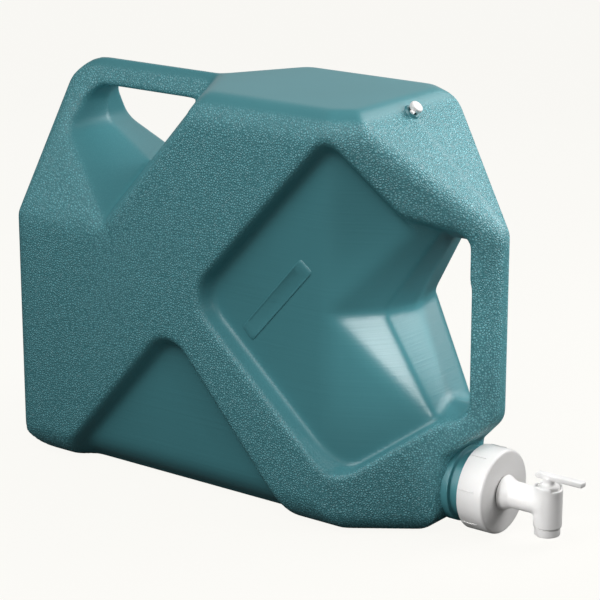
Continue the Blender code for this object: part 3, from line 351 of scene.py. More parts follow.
def new_tree(name, values):
    """A Geometry Nodes tree with these named inputs, and what its input node gives."""
    tree = bpy.data.node_groups.new(name, "GeometryNodeTree")
    tree.interface.new_socket("Geometry", in_out="INPUT", socket_type="NodeSocketGeometry")
    for label, value in values.items():
        kind = "NodeSocketInt" if isinstance(value, int) else "NodeSocketFloat"
        tree.interface.new_socket(label, in_out="INPUT", socket_type=kind).default_value = value
    tree.interface.new_socket("Geometry", in_out="OUTPUT", socket_type="NodeSocketGeometry")
    return tree, add_node(tree, "NodeGroupInput").outputs


def end_tree(tree, geometry, finish):
    """Make the geometry real, give it its finish and send it out of the tree."""
    real = add_node(tree, "GeometryNodeRealizeInstances", {"Geometry": geometry})
    coated = add_node(tree, "GeometryNodeSetMaterial", {"Geometry": real.outputs[0], "Material": finish})
    add_node(tree, "NodeGroupOutput", {"Geometry": coated.outputs[0]})
    return tree


def linked(name, mesh, finish):
    """Put a mesh into the scene as an object with one finish."""
    mesh.materials.append(finish)
    item = bpy.data.objects.new(name, mesh)
    bpy.context.scene.collection.objects.link(item)
    return item


def mesh_object(name, points, faces, finish):
    """A smooth-shaded object from arrays of points and of faces with equal corner counts."""
    mesh = bpy.data.meshes.new(name)
    count, corners = faces.shape
    mesh.vertices.add(len(points))
    mesh.vertices.foreach_set("co", np.ascontiguousarray(points, np.float32).ravel())
    mesh.loops.add(count * corners)
    mesh.loops.foreach_set("vertex_index", np.ascontiguousarray(faces, np.int32).ravel())
    mesh.polygons.add(count)
    mesh.polygons.foreach_set("loop_start", np.arange(count, dtype=np.int32) * corners)
    mesh.update(calc_edges=True)
    mesh.validate()
    mesh.shade_smooth()
    return linked(name, mesh, finish)


def bmesh_object(name, bm, finish, sharp_angle=SHARP_ANGLE):
    """Turn a bmesh into a smooth object that keeps its sharp edges."""
    bmesh.ops.remove_doubles(bm, verts=bm.verts[:], dist=0.00001)
    bmesh.ops.recalc_face_normals(bm, faces=bm.faces[:])
    mesh = bpy.data.meshes.new(name)
    bm.to_mesh(mesh)
    bm.free()
    mesh.shade_smooth()
    mesh.set_sharp_from_angle(angle=sharp_angle)
    return linked(name, mesh, finish)


def rounded_outline(corners, cuts):
    """The points of an outline with each corner rounded by its own radius."""
    result = []
    places = [Vector(corner[:2]) for corner in corners]
    for index, here in enumerate(places):
        before = places[index - 1] - here
        after = places[(index + 1) % len(places)] - here
        radius = corners[index][2]
        if radius <= 0.0:
            result.append(tuple(here))
            continue
        cut = min(radius / math.tan(before.angle(after) / 2), before.length * 0.49, after.length * 0.49)
        first = here + before.normalized() * cut
        last = here + after.normalized() * cut
        for step in range(cuts + 1):
            share = step / cuts
            point = first * (1 - share) ** 2 + here * 2 * share * (1 - share) + last * share ** 2
            result.append(tuple(point))
    return result


def turned(name, corners, place, finish, steps, cuts=4):
    """Turn a closed outline of (radius, height, rounding) corners about the Z of a place."""
    bm = bmesh.new()
    points = [bm.verts.new((radius, 0.0, height)) for radius, height in rounded_outline(corners, cuts)]
    for start, end in zip(points, points[1:] + points[:1]):
        bm.edges.new((start, end))
    bmesh.ops.spin(
        bm, geom=bm.verts[:] + bm.edges[:], cent=(0, 0, 0), axis=(0, 0, 1),
        angle=math.tau, steps=steps, use_merge=True, use_duplicate=False)
    bmesh.ops.transform(bm, matrix=place, verts=bm.verts[:])
    return bmesh_object(name, bm, finish)


def frame_along(origin, direction, reference):
    """A place whose Z runs along a direction."""
    z_axis = Vector(direction).normalized()
    x_axis = Vector(reference).cross(z_axis).normalized()
    y_axis = z_axis.cross(x_axis)
    return Matrix.Translation(origin) @ Matrix((x_axis, y_axis, z_axis)).transposed().to_4x4()


NECK_PLACE = frame_along((0, 0, NECK_Z), (1, 0, 0), (0, 0, 1))
BARREL_PLACE = frame_along((BARREL_X, 0, 0), (0, 0, 1), (0, 1, 0))
VENT_PLACE = frame_along(VENT_POINT, SLOPE_NORMAL, (0, 1, 0))


# Distance fields: negative inside a form, in metres

# Stands for no limit in a maximum of distances
FAR_INSIDE = -1.0


def facing(normal, point):
    """A bounding plane: its outward unit normal and its distance."""
    unit = np.array(normal, float)
    unit /= np.linalg.norm(unit)
    return unit, float(unit @ np.array(point, float))


def through(first, second, third, outside):
    """The plane through three points, with the given direction outside it."""
    normal = np.cross(np.subtract(second, first), np.subtract(third, first))
    return facing(-normal if normal @ np.array(outside) < 0 else normal, first)


def flipped(bound):
    """The same plane seen from its other side."""
    return -bound[0], -bound[1]


def ahead(bound, at):
    """How far each point is in front of a plane."""
    normal, distance = bound
    return sum(axis * np.float32(part) for axis, part in zip(at, normal)) - np.float32(distance)


def fillet(first, second, radius, at):
    """Distance from the rounded edge where two bounding planes meet."""
    cosine = float(first[0] @ second[0])
    across = ahead(first, at) + np.float32(radius)
    along = ahead(second, at) + np.float32(radius)
    square = (across * across + along * along - 2 * cosine * across * along) / (1 - cosine * cosine)
    arc = np.sqrt(np.maximum(square, 0)) - np.float32(radius)
    in_sector = (across > cosine * along) & (along > cosine * across)
    return np.where(in_sector, arc, np.maximum(across, along) - np.float32(radius))


def bounded(bounds, fillets, at):
    """Field of a convex form with rounded edges."""
    field = ahead(bounds[0], at)
    for bound in bounds[1:]:
        field = np.maximum(field, ahead(bound, at))
    for first, second, radius in fillets:
        field = np.maximum(field, fillet(first, second, radius, at))
    return field


def carved(field, cutter, radius):
    """Field of a form with a cutter taken away and the new edge rounded."""
    first = np.maximum(field + radius, 0)
    second = np.maximum(radius - cutter, 0)
    return np.minimum(-radius, np.maximum(field, -cutter)) + np.hypot(first, second)


def welded(first, second, radius):
    """Field of two forms joined with a fillet between them."""
    return -carved(-first, second, radius)


def round_bar(radial, height, radius, low, high, rounding):
    """Field of a round bar with rounded ends, from distance and height on its axis."""
    across = radial - radius + rounding
    along = np.abs(height - (low + high) / 2) - (high - low) / 2 + rounding
    outside = np.hypot(np.maximum(across, 0), np.maximum(along, 0))
    return outside + np.minimum(np.maximum(across, along), 0) - rounding


def round_box(at, middle, halves, rounding):
    """Field of a box with rounded edges."""
    parts = [np.abs(axis - centre) - half + rounding for axis, centre, half in zip(at, middle, halves)]
    squares = sum(np.maximum(part, 0) ** 2 for part in parts)
    inside = np.minimum(np.maximum(np.maximum(parts[0], parts[1]), parts[2]), 0)
    return np.sqrt(squares) + inside - rounding


def softened(field, spread):
    """The field blurred by a bell curve of this many steps, which rounds its creases."""
    reach = int(math.ceil(spread * 2.5))
    weights = np.exp(-0.5 * (np.arange(-reach, reach + 1) / spread) ** 2)
    weights /= weights.sum()
    for axis in range(3):
        pad = [(reach, reach) if axis == each else (0, 0) for each in range(3)]
        wide = np.pad(field, pad, mode="edge")
        length = field.shape[axis]
        field = sum(
            np.float32(weight) * np.take(wide, range(shift, shift + length), axis=axis)
            for shift, weight in enumerate(weights))
    return field


def sample(field, low, step, points):
    """Values of a grid at points between its nodes."""
    place = (points - low) / step
    cell = np.clip(place.astype(int), 0, np.array(field.shape) - 2)
    part = (place - cell).astype(np.float32)
    total = np.zeros(len(points), np.float32)
    for corner in range(8):
        bits = (corner & 1, corner >> 1 & 1, corner >> 2 & 1)
        weight = np.ones(len(points), np.float32)
        for axis, bit in enumerate(bits):
            weight *= part[:, axis] if bit else 1 - part[:, axis]
        total += weight * field[tuple((cell + bits).T)]
    return total


def skinned(field, low, step):
    """Points and four-cornered faces of the surface where a grid's field is zero."""
    inside = field < 0
    cells = tuple(size - 1 for size in field.shape)
    counts = np.zeros(cells, np.int8)
    for shifts in np.ndindex(2, 2, 2):
        counts += inside[tuple(slice(shift, shift + size) for shift, size in zip(shifts, cells))]
    active = (counts > 0) & (counts < 8)
    index = np.full(cells, -1, np.int32)
    index[active] = np.arange(active.sum())
    base = np.argwhere(active)
    total = np.zeros((len(base), 3))
    crossings = np.zeros(len(base))
    unit = np.eye(3, dtype=int)
    for axis in range(3):
        one, two = [each for each in range(3) if each != axis]
        for corner in range(4):
            start = base + (corner & 1) * unit[one] + (corner >> 1) * unit[two]
            first = field[tuple(start.T)]
            second = field[tuple((start + unit[axis]).T)]
            crossed = (first < 0) != (second < 0)
            share = np.where(crossed, first / np.where(crossed, first - second, 1), 0)
            total += (start + share[:, None] * unit[axis]) * crossed[:, None]
            crossings += crossed
    points = np.array(low) + step * total / crossings[:, None]
    faces = []
    for axis in range(3):
        one, two = [(1, 2), (2, 0), (0, 1)][axis]
        change = np.diff(inside.astype(np.int8), axis=axis)
        for sign in (-1, 1):
            spots = np.argwhere(change == sign)
            spots = spots[(spots[:, one] > 0) & (spots[:, two] > 0)]
            spots = spots[(spots[:, one] < cells[one]) & (spots[:, two] < cells[two])]
            quad = np.stack([
                index[tuple((spots - across * unit[one] - along * unit[two]).T)]
                for across, along in ((1, 1), (0, 1), (0, 0), (1, 0))], 1)
            faces.append(quad if sign < 0 else quad[:, ::-1])
    return points, np.concatenate(faces)


def settled(points, faces, field, low, step, rounds=3):
    """Even out the points along the surface, and set each one on it."""
    slopes = np.gradient(field, step)
    starts = faces.T.ravel()
    ends = np.roll(faces, -1, axis=1).T.ravel()
    ends, starts = np.concatenate([starts, ends]), np.concatenate([ends, starts])
    valence = np.bincount(ends, minlength=len(points))[:, None]
    for turn in range(rounds + 2):
        normal = np.stack([sample(slope, low, step, points) for slope in slopes], 1)
        length = np.maximum(np.linalg.norm(normal, axis=1, keepdims=True), 0.2)
        if turn < rounds:
            middle = np.stack(
                [np.bincount(ends, points[starts, axis], len(points)) for axis in range(3)], 1) / valence
            shift = middle - points
            unit = normal / length
            shift -= unit * np.sum(unit * shift, 1, keepdims=True)
            points = points + 0.5 * shift
        value = sample(field, low, step, points)[:, None]
        points = points - np.clip(value / length, -0.7 * step, 0.7 * step) * normal / length
    return points


def grid_axes(low, high, step):
    """The grid's lowest corner and its three coordinate arrays, ready to combine."""
    low = np.array(low, float) - step * 3
    counts = np.ceil((np.array(high, float) + step * 3 - low) / step).astype(int) + 1
    axes = [np.float32(low[axis] + step * np.arange(counts[axis])) for axis in range(3)]
    return low, (axes[0][:, None, None], axes[1][None, :, None], axes[2][None, None, :])


def field_object(name, make_field, low, high, step, finish, spread=0.8):
    """A piece whose surface is where a field of the coordinates is zero."""
    low, at = grid_axes(low, high, step)
    field = softened(np.asarray(make_field(at), np.float32), spread)
    points, faces = skinned(field, low, step)
    points = settled(points, faces, field, low, step)
    return mesh_object(name, points, faces, finish)


# The tank's form, near side

BACK = facing((-1, 0, 0), (-HALF_LENGTH, 0, 0))
FRONT = facing((1, 0, 0), (HALF_LENGTH, 0, 0))
TOP = facing((0, 0, 1), (0, 0, TANK_HEIGHT))
BASE = facing((0, 0, -1), (0, 0, 0))
SLOPE = facing(SLOPE_NORMAL, (SLOPE_TOP_X, 0, TANK_HEIGHT))
NECK_FACE = facing((1, 0, 0), (NECK_FACE_X, 0, 0))
CHIN = through(
    (HALF_LENGTH, 0, CHIN_TOP_Z), (NECK_FACE_X, 0, CHIN_FOOT_Z), (NECK_FACE_X, 1, CHIN_FOOT_Z), (0, 0, -1))
REAR_FOLD = facing((0, -1, FOLD_RUN), (0, -HALF_WIDTH, FOLD_Z))
REAR_WALL = through((-0.012, -0.1, 0.390), (-0.139, -0.1, 0.247), (-0.070, 0, 0.390), (1, 0, 0))
REAR_POST = facing((-1, 0.28, 0), (-0.212, 0, 0))
REAR_FLOOR = through((-0.211, 0, 0.326), (-0.158, 0, 0.292), (-0.136, -0.099, 0.249), (-1, 0, 0))
REAR_CEILING = facing((0, 0, 1), (0, 0, 0.364))
GRIP = facing((1, 0, 0), (GRIP_FACE_X, 0, 0))
POCKET_CEILING = facing((0, 0.48, 1), (0, 0, 0.271))
POCKET_FLOOR = facing((0, 0.31, -1), (0, 0, 0.119))
POCKET_HIGH = through((0.126, -0.078, 0.212), (0.186, -0.0429, 0.283), (0.156, -0.040, 0.211), (-1, 0, 1))
POCKET_LOW = through((0.126, -0.078, 0.196), (0.190, -0.0406, 0.119), (0.156, -0.040, 0.196), (-1, 0, -1))
THROAT_HIGH = through((0.158, 0, 0.203), (0.198, 0, 0.271), (0.156, -0.040, 0.211), (-1, 0, 0))
THROAT_LOW = through((0.158, 0, 0.196), (0.1985, 0, 0.119), (0.156, -0.040, 0.196), (-1, 0, 0))


def hull_bounds(inset=0.0):
    """Planes and roundings of the tank's convex outer form, or of its panels' floor."""
    side = facing((0, -1, 0), (0, inset - HALF_WIDTH, 0))
    spread = (HALF_WIDTH - NOSE_HALF_WIDTH, CREASE_X - HALF_LENGTH, 0)
    taper = facing(spread, (CREASE_X, -HALF_WIDTH, 0))
    if inset > 0.0:
        taper = facing((PANEL_TAPER_RUN, -1, 0), (CREASE_X, -PANEL_TAPER_HALF_WIDTH, 0))
    fillets = [
        (BACK, BASE, BACK_CORNER), (BACK, TOP, BACK_CORNER), (SLOPE, TOP, SLOPE_EDGE),
        (FRONT, SLOPE, GRIP_CORNER), (side, TOP, TOP_EDGE), (side, BASE, BASE_EDGE),
        (side, BACK, BACK_EDGE), (side, taper, CREASE_EDGE), (taper, TOP, TOP_EDGE),
        (taper, SLOPE, SLOPE_EDGE)]
    if inset > 0.0:
        fillets.append((taper, BASE, BASE_EDGE))
    else:
        fillets += [(taper, BASE, NOSE_BASE), (taper, FRONT, NOSE_EDGE)]
    return [BACK, FRONT, TOP, BASE, SLOPE, side, taper], fillets


def rear_flank(at):
    """What is missing beside the top grip."""
    flank = flipped(REAR_FOLD)
    return bounded([REAR_WALL, flank], [(REAR_WALL, flank, FLANK_FOOT)], at)


def rear_opening(at):
    """The finger opening under the top grip."""
    fillets = [(REAR_POST, REAR_CEILING, REAR_CORNER), (REAR_POST, REAR_FLOOR, REAR_CORNER)]
    return bounded([REAR_WALL, REAR_POST, REAR_FLOOR, REAR_CEILING], fillets, at)


def pocket_form(high, low, at):
    """A pocket between its upper and lower facet, closed by the grip and both ends."""
    corners = ((high, low), (low, POCKET_FLOOR), (GRIP, POCKET_CEILING), (GRIP, POCKET_FLOOR))
    fillets = [(*corner, POCKET_CORNER) for corner in corners]
    return bounded([GRIP, POCKET_CEILING, POCKET_FLOOR, high, low], fillets, at)


def front_pocket(at):
    """The wide pocket behind the upright grip and the throat inside it."""
    return np.minimum(pocket_form(POCKET_HIGH, POCKET_LOW, at), pocket_form(THROAT_HIGH, THROAT_LOW, at))


def panel_wall(start, run, outward, draft):
    """A drafted wall of a side panel."""
    foot = np.array((start[0], -HALF_WIDTH, start[1]))
    normal = through(foot, foot + (run[0], 0, run[1]), foot + (0, 1, 0), outward)[0]
    tilt = math.radians(draft)
    return facing(normal * math.cos(tilt) + (0, math.sin(tilt), 0), foot)


def panel_rims(at):
    """The prisms over the rims of the front and the rear panel."""
    rims = []
    for walls, corners in (
            (FRONT_PANEL_WALLS, FRONT_PANEL_CORNERS), (REAR_PANEL_WALLS, REAR_PANEL_CORNERS)):
        planes = [panel_wall(*wall) for wall in walls]
        fillets = [(planes[first], planes[second], radius) for first, second, radius in corners]
        rims.append(bounded(planes, fillets, at))
    return rims


def eased(value, low, high):
    """A smooth step from 0 to 1 between two values."""
    share = np.clip((value - low) / (high - low), 0, 1)
    return share * share * (3 - 2 * share)


def tank_field(at, rim_radius, grip_radius):
    """Field of the whole near half of the tank, without its neck."""
    field = carved(bounded(*hull_bounds(), at), rear_flank(at), RECESS_RIM)
    beside = ahead(REAR_WALL, at) < -REAR_FOLD_SETBACK
    corner = fillet(REAR_FOLD, BACK, BACK_EDGE, at)
    field = np.maximum(field, np.where(beside, corner, FAR_INSIDE))
    field = carved(field, rear_opening(at), grip_radius)
    lifted = (at[0], at[1], np.maximum(at[2], PANEL_FOOT_Z))
    floor = bounded(*hull_bounds(PANEL_DEPTH), lifted)
    for rim in panel_rims(at):
        recess = np.maximum(rim, ahead(GRIP, at))
        field = carved(field, carved(recess, floor, PANEL_FLOOR_EDGE), rim_radius)
    extra = np.float32(grip_radius - POCKET_RIM) * eased(at[0], *GRIP_RIM_SPAN)
    field = carved(field, front_pocket(at), np.float32(POCKET_RIM) + extra)
    walls = [flipped(NECK_FACE), flipped(CHIN)]
    recess = bounded(walls, [(*walls, NECK_RECESS)], at)
    field = carved(field, recess, RECESS_RIM)
    above = at[2] > CHIN_FOOT_Z + NECK_RECESS
    nose = np.where(above, fillet(FRONT, CHIN, CHIN_EDGE, at), FAR_INSIDE)
    foot = np.where(at[2] < FOOT_EDGE, fillet(NECK_FACE, BASE, FOOT_EDGE, at), FAR_INSIDE)
    return np.maximum(field, np.maximum(nose, foot))


def grain_mask(at):
    """Each point's share of pebble grain: none in recesses and openings, less at the seam."""
    recess = np.maximum(np.minimum(*panel_rims(at)), ahead(GRIP, at))
    recess = np.minimum(recess, np.minimum(front_pocket(at), rear_opening(at)))
    share = eased(recess, *GRAIN_FADE)
    top = np.clip((TANK_HEIGHT - GRAIN_TOP_FADE - at[2]) / GRAIN_TOP_FADE, 0, 1)
    beside_seam = SEAM_SHARE + (1 - SEAM_SHARE) * eased(np.abs(at[1]), *SEAM_FADE)
    seam = np.where(at[0] > SLOPE_TOP_X, beside_seam, 1.0)
    return share * top * seam


# Finishes

def make_moulded_finish(colour, grain_size):
    """Blow-moulded polyethylene: waxy, half matt, with a pebbled mould grain.

    The crests of the grain are painted pale as a painted glint on each pebble, and its
    creases keep the plain colour. Recesses are smooth and show faint lines of flow.
    """
    finish, tree = new_finish("blow_moulded_polyethylene")
    spot = own_spot(tree)
    grain = add_node(tree, "ShaderNodeAttribute", attribute_name="grain").outputs["Fac"]
    pebbles = add_node(
        tree, "ShaderNodeTexVoronoi", {"Vector": spot, "Scale": 1 / grain_size, "Randomness": 1.0},
        feature="DISTANCE_TO_EDGE")
    domes = add_node(
        tree, "ShaderNodeMapRange", {"Value": pebbles.outputs["Distance"], "From Min": 0.0, "From Max": 0.35},
        interpolation_type="SMOOTHSTEP")
    heights = calculated(tree, "ADD", domes.outputs["Result"], noise(tree, spot, 260.0, 3.0, 0.6))
    stretch = add_node(tree, "ShaderNodeMapping", {"Vector": spot, "Scale": (6.0, 6.0, 420.0)})
    fine = bumped(tree, noise(tree, stretch.outputs[0], 1.0, 4.0), 0.35, 0.0005)
    bump = bumped(tree, calculated(tree, "MULTIPLY", heights, grain), 0.7, 0.0007, Normal=fine)
    pale = [min(1.0, part * 1.22 + 0.004) for part in colour] + [1.0]
    plain = blended(tree, noise(tree, spot, 9.0), [*colour, 1.0], pale)
    crest = add_node(tree, "ShaderNodeMapRange", {"Value": heights, "From Min": 0.55, "From Max": 1.45})
    creased = [part * 1.05 for part in colour] + [1.0]
    # Painted glint: the pebbles' crests are painted paler than the plastic's own colour
    glinting_crest_colour = [min(1.0, part * 1.9 + 0.065) for part in colour] + [1.0]
    pebbled = blended(tree, crest.outputs[0], creased, glinting_crest_colour)
    rough = add_node(tree, "ShaderNodeMapRange", {"Value": grain, "To Min": 0.36, "To Max": 0.40})
    return surfaced(finish, {
        "Base Color": blended(tree, grain, plain, pebbled), "Roughness": rough.outputs[0], "Normal": bump,
        "IOR": 1.51, "Specular IOR Level": 0.7})


def make_white_finish(colour):
    """Injection-moulded polypropylene: smooth, slightly waxy white."""
    finish, tree = new_finish("injection_moulded_polypropylene")
    ripple = noise(tree, own_spot(tree), 180.0)
    warm = [colour[0], colour[1] * 0.985, colour[2] * 0.97, 1.0]
    return surfaced(finish, {
        "Base Color": blended(tree, ripple, [*colour, 1.0], warm), "Roughness": 0.32,
        "Normal": bumped(tree, ripple, 0.05, 0.0003), "IOR": 1.49, "Subsurface Weight": 0.15,
        "Subsurface Radius": (0.004, 0.004, 0.004), "Subsurface Scale": 0.5})


def make_rubber_finish():
    """Moulded sealing rubber: black, matt, with a fine bloom."""
    finish, tree = new_finish("moulded_sealing_rubber")
    bloom = noise(tree, own_spot(tree), 900.0, 3.0)
    return surfaced(finish, {
        "Base Color": blended(tree, bloom, linear("#16171A"), linear("#26282B")), "Roughness": 0.65,
        "Normal": bumped(tree, bloom, 0.2, 0.0002), "IOR": 1.52})


def make_foam_finish():
    """Closed-cell sealing foam: grey, matt, with skin pores half a millimetre wide."""
    finish, tree = new_finish("closed_cell_foam")
    pores = add_node(tree, "ShaderNodeTexVoronoi", {"Vector": own_spot(tree), "Scale": 2000.0})
    cells = pores.outputs["Distance"]
    return surfaced(finish, {
        "Base Color": blended(tree, cells, linear("#9A9A98"), linear("#B4B3B0")), "Roughness": 0.85,
        "Normal": bumped(tree, cells, 0.4, 0.0002), "IOR": 1.45})


def moulded(context):
    """The tank's plastic, made on first use."""
    settings = context.scene.container_tank
    made = bpy.data.materials.get("blow_moulded_polyethylene")
    return made or make_moulded_finish(settings.colour, settings.grain_size)


def white(context):
    """The white plastic of the cap, tap and vent, made on first use."""
    made = bpy.data.materials.get("injection_moulded_polypropylene")
    return made or make_white_finish(context.scene.container_cap.colour)


# Pieces

class CONTAINER_OT_tank(bpy.types.Operator):
    """Build the tank's moulded skin."""

    bl_idname = "container.tank"
    bl_label = "Tank"

    def execute(self, context):
        settings = context.scene.container_tank
        step = settings.mesh_step
        low, at = grid_axes((-HALF_LENGTH, -HALF_WIDTH, 0), (HALF_LENGTH, 0, TANK_HEIGHT), step)
        near = np.float32(-step * np.arange(int(math.ceil((HALF_WIDTH + 3 * step) / step)) + 1))[::-1]
        low[1] = near[0]
        at = (at[0], near[None, :, None], at[2])
        half = np.asarray(tank_field(at, settings.rim_radius, settings.grip_radius), np.float32)
        field = softened(np.concatenate([half, half[:, -2::-1]], 1), TANK_SPREAD)
        points, faces = skinned(field, low, step)
        points = settled(points, faces, field, low, step)
        tank = mesh_object("tank_shell", points, faces, moulded(context))
        spots = np.float32(points.T)
        spots[1] = -np.abs(spots[1])
        grain = tank.data.attributes.new("grain", "FLOAT", "POINT")
        grain.data.foreach_set("value", np.float32(grain_mask(spots)))
        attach(tank, "tank")
        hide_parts("tank_body")
        return {"FINISHED"}


class CONTAINER_OT_plates(bpy.types.Operator):
    """Build the plain framed plates on the large panels."""

    bl_idname = "container.plates"
    bl_label = "Blank plates"

    def execute(self, context):
        corners = [Vector(corner) for corner in PLATE_CORNERS]
        middle = sum(corners, Vector((0, 0))) / 4
        for name, hand in (("blank_plate_near", -1), ("blank_plate_far", 1)):
            bm = bmesh.new()
            floor = hand * (HALF_WIDTH - PANEL_DEPTH)
            rings = []
            for inset, rise in PLATE_STEPS:
                scale = 1 - inset / PLATE_HALF_WIDTH
                shrunk = [(*((corner - middle) * scale + middle), PLATE_ROUNDING) for corner in corners]
                outline = rounded_outline(shrunk, 5)
                rings.append([bm.verts.new((x, floor + hand * rise, z)) for x, z in outline])
            for outer, inner in zip(rings, rings[1:]):
                for index in range(len(outer)):
                    after = (index + 1) % len(outer)
                    bm.faces.new((outer[index], outer[after], inner[after], inner[index]))
            bm.faces.new(rings[-1])
            bm.faces.new(rings[0])
            plate = bmesh_object(name, bm, moulded(context), PLATE_SHARP_ANGLE)
            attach(plate, "tank")
        return {"FINISHED"}


def spiral_tree(finish):
    """Node tree of a screw ridge: a trapezoid swept along a helix about X."""
    tree, source = new_tree("screw_ridge", {
        "Radius": NECK_RADIUS + THREAD_LIFT, "Pitch": THREAD_PITCH, "Turns": THREAD_TURNS,
        "Ridge height": THREAD_HEIGHT, "Ridge width": THREAD_ROOT_WIDTH})
    path = add_node(
        tree, "GeometryNodeCurveSpiral",
        {
            "Resolution": 96, "Rotations": source["Turns"], "Start Radius": source["Radius"],
            "End Radius": source["Radius"],
            "Height": calculated(tree, "MULTIPLY", source["Pitch"], source["Turns"])})
    section = add_node(
        tree, "GeometryNodeCurvePrimitiveQuadrilateral",
        {
            "Bottom Width": source["Ridge width"], "Top Width": THREAD_CREST_WIDTH,
            "Height": source["Ridge height"], "Offset": 0.0}, mode="TRAPEZOID")
    swept = add_node(
        tree, "GeometryNodeCurveToMesh",
        {"Curve": path.outputs[0], "Profile Curve": section.outputs[0], "Fill Caps": True})
    return end_tree(tree, swept.outputs[0], finish)


def rib_tree(finish):
    """Node tree that repeats one rib round the X axis."""
    tree, source = new_tree("rib_ring", {"Count": RIB_COUNT, "Axis height": NECK_Z})
    spots = add_node(tree, "GeometryNodePoints", {"Count": source["Count"]})
    index = add_node(tree, "GeometryNodeInputIndex").outputs[0]
    share = calculated(tree, "DIVIDE", calculated(tree, "ADD", index, 0.5), source["Count"])
    turn = add_node(tree, "ShaderNodeCombineXYZ", {"X": calculated(tree, "MULTIPLY", share, math.tau)})
    ring = add_node(
        tree, "GeometryNodeInstanceOnPoints",
        {"Points": spots.outputs[0], "Instance": source["Geometry"], "Rotation": turn.outputs[0]})
    lift = add_node(tree, "ShaderNodeCombineXYZ", {"Z": source["Axis height"]})
    placed = add_node(
        tree, "GeometryNodeTransform", {"Geometry": ring.outputs[0], "Translation": lift.outputs[0]})
    return end_tree(tree, placed.outputs[0], finish)


def plain_from_tree(item, tree, values, place=Matrix()):
    """Run a node tree on an object and keep the result as its plain mesh."""
    step = item.modifiers.new(tree.name, "NODES")
    step.node_group = tree
    for socket in tree.interface.items_tree:
        if socket.in_out == "INPUT" and socket.name in values:
            step[socket.identifier] = values[socket.name]
    graph = bpy.context.evaluated_depsgraph_get()
    result = bpy.data.meshes.new_from_object(item.evaluated_get(graph), depsgraph=graph)
    item.modifiers.clear()
    item.data = result
    result.transform(place)
    result.shade_smooth()
    result.set_sharp_from_angle(angle=SHARP_ANGLE)


class CONTAINER_OT_neck(bpy.types.Operator):
    """Build the neck with its collar and screw thread, and the boss of the vent."""

    bl_idname = "container.neck"
    bl_label = "Neck and vent boss"

    def execute(self, context):
        finish = moulded(context)
        neck = turned("tank_neck", NECK_OUTLINE, NECK_PLACE, finish, 120)
        ridge = bmesh_object("neck_thread", bmesh.new(), finish)
        pitch = context.scene.container_cap.thread_pitch
        place = frame_along((NECK_END_X - THREAD_SETBACK, 0, NECK_Z), (1, 0, 0), (0, 0, 1))
        plain_from_tree(ridge, spiral_tree(finish), {"Pitch": pitch}, place)
        boss = turned("vent_boss", BOSS_OUTLINE, VENT_PLACE, finish, 64)
        for item in (neck, ridge, boss):
            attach(item, "tank")
        return {"FINISHED"}


class CONTAINER_OT_cap(bpy.types.Operator):
    """Build the screw cap with its ribs."""

    bl_idname = "container.cap"
    bl_label = "Screw cap"

    def execute(self, context):
        settings = context.scene.container_cap
        finish = white(context)
        cap = turned("cap_moulding", CAP_OUTLINE, NECK_PLACE, finish, 160, 6)
        bm = bmesh.new()
        bmesh.ops.create_cube(bm, size=1.0)
        height = settings.rib_height
        size = Matrix.Diagonal((RIB_LENGTH, settings.rib_width, height * RIB_DEPTH_SHARE, 1.0))
        middle = Vector((CAP_BACK_X + RIB_SETBACK + RIB_LENGTH / 2, 0, CAP_RADIUS - height * RIB_SINK_SHARE))
        bmesh.ops.transform(bm, matrix=Matrix.Translation(middle) @ size, verts=bm.verts[:])
        bmesh.ops.bevel(
            bm, geom=bm.edges[:], offset=height * RIB_BEVEL_SHARE, segments=2, profile=0.5, affect="EDGES")
        ribs = bmesh_object("cap_ribs", bm, finish)
        plain_from_tree(ribs, rib_tree(finish), {"Count": settings.rib_count, "Axis height": NECK_Z})
        for item in (cap, ribs):
            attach(item, "cap")
        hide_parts("screw_cap")
        return {"FINISHED"}


def tap_body_field(at):
    """Shank, hub, stem and barrel in one moulding, with the plug's bore and stop window."""
    radial = np.hypot(at[1], at[2] - NECK_Z)
    stations, radii = zip(*SHANK_PROFILE)
    profile = np.interp(at[0].ravel(), stations, radii).astype(np.float32).reshape(at[0].shape)
    stem = np.maximum(np.maximum(radial - profile, SHANK_END_X - at[0]), at[0] - BARREL_X)
    about = np.hypot(at[0] - BARREL_X, at[1])
    body = welded(stem, round_bar(about, at[2], *BARREL), SHANK_WELD)
    body = carved(body, round_bar(about, at[2], *BARREL_BORE), BORE_EDGE)
    body = carved(body, round_box(at, *STOP_WINDOW), WINDOW_EDGE)
    return carved(body, np.maximum(radial - SHANK_BORE_RADIUS, at[0] - BARREL_X), FLOW_EDGE)


def plug_field(at):
    """The turning plug, its post and the lever bar."""
    about = np.hypot(at[0] - BARREL_X, at[1])
    body = np.minimum(round_bar(about, at[2], *PLUG_CORE), round_bar(about, at[2], *PLUG_TAIL))
    body = welded(body, round_bar(about, at[2], *LEVER_POST), POST_WELD)
    body = welded(body, round_box(at, *LEVER_BAR), LEVER_WELD)
    return carved(body, np.maximum(about - PLUG_BORE_RADIUS, at[2] - PLUG_CROWN_Z), FLOW_EDGE)


class CONTAINER_OT_tap(bpy.types.Operator):
    """Build the tap's body, its turning plug with the lever, and the outlet collar."""

    bl_idname = "container.tap"
    bl_label = "Tap"

    def execute(self, context):
        finish = white(context)
        body = field_object("tap_moulding", tap_body_field, *TAP_GRID, finish)
        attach(body, "spigot")
        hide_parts("tap_body")
        plug = field_object("lever_plug", plug_field, *PLUG_GRID, finish)
        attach(plug, "tap")
        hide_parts("tap_plug")
        collar = turned("outlet_ring", NOZZLE_OUTLINE, BARREL_PLACE, finish, 96)
        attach(collar, "tap")
        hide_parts("outlet_collar")
        return {"FINISHED"}


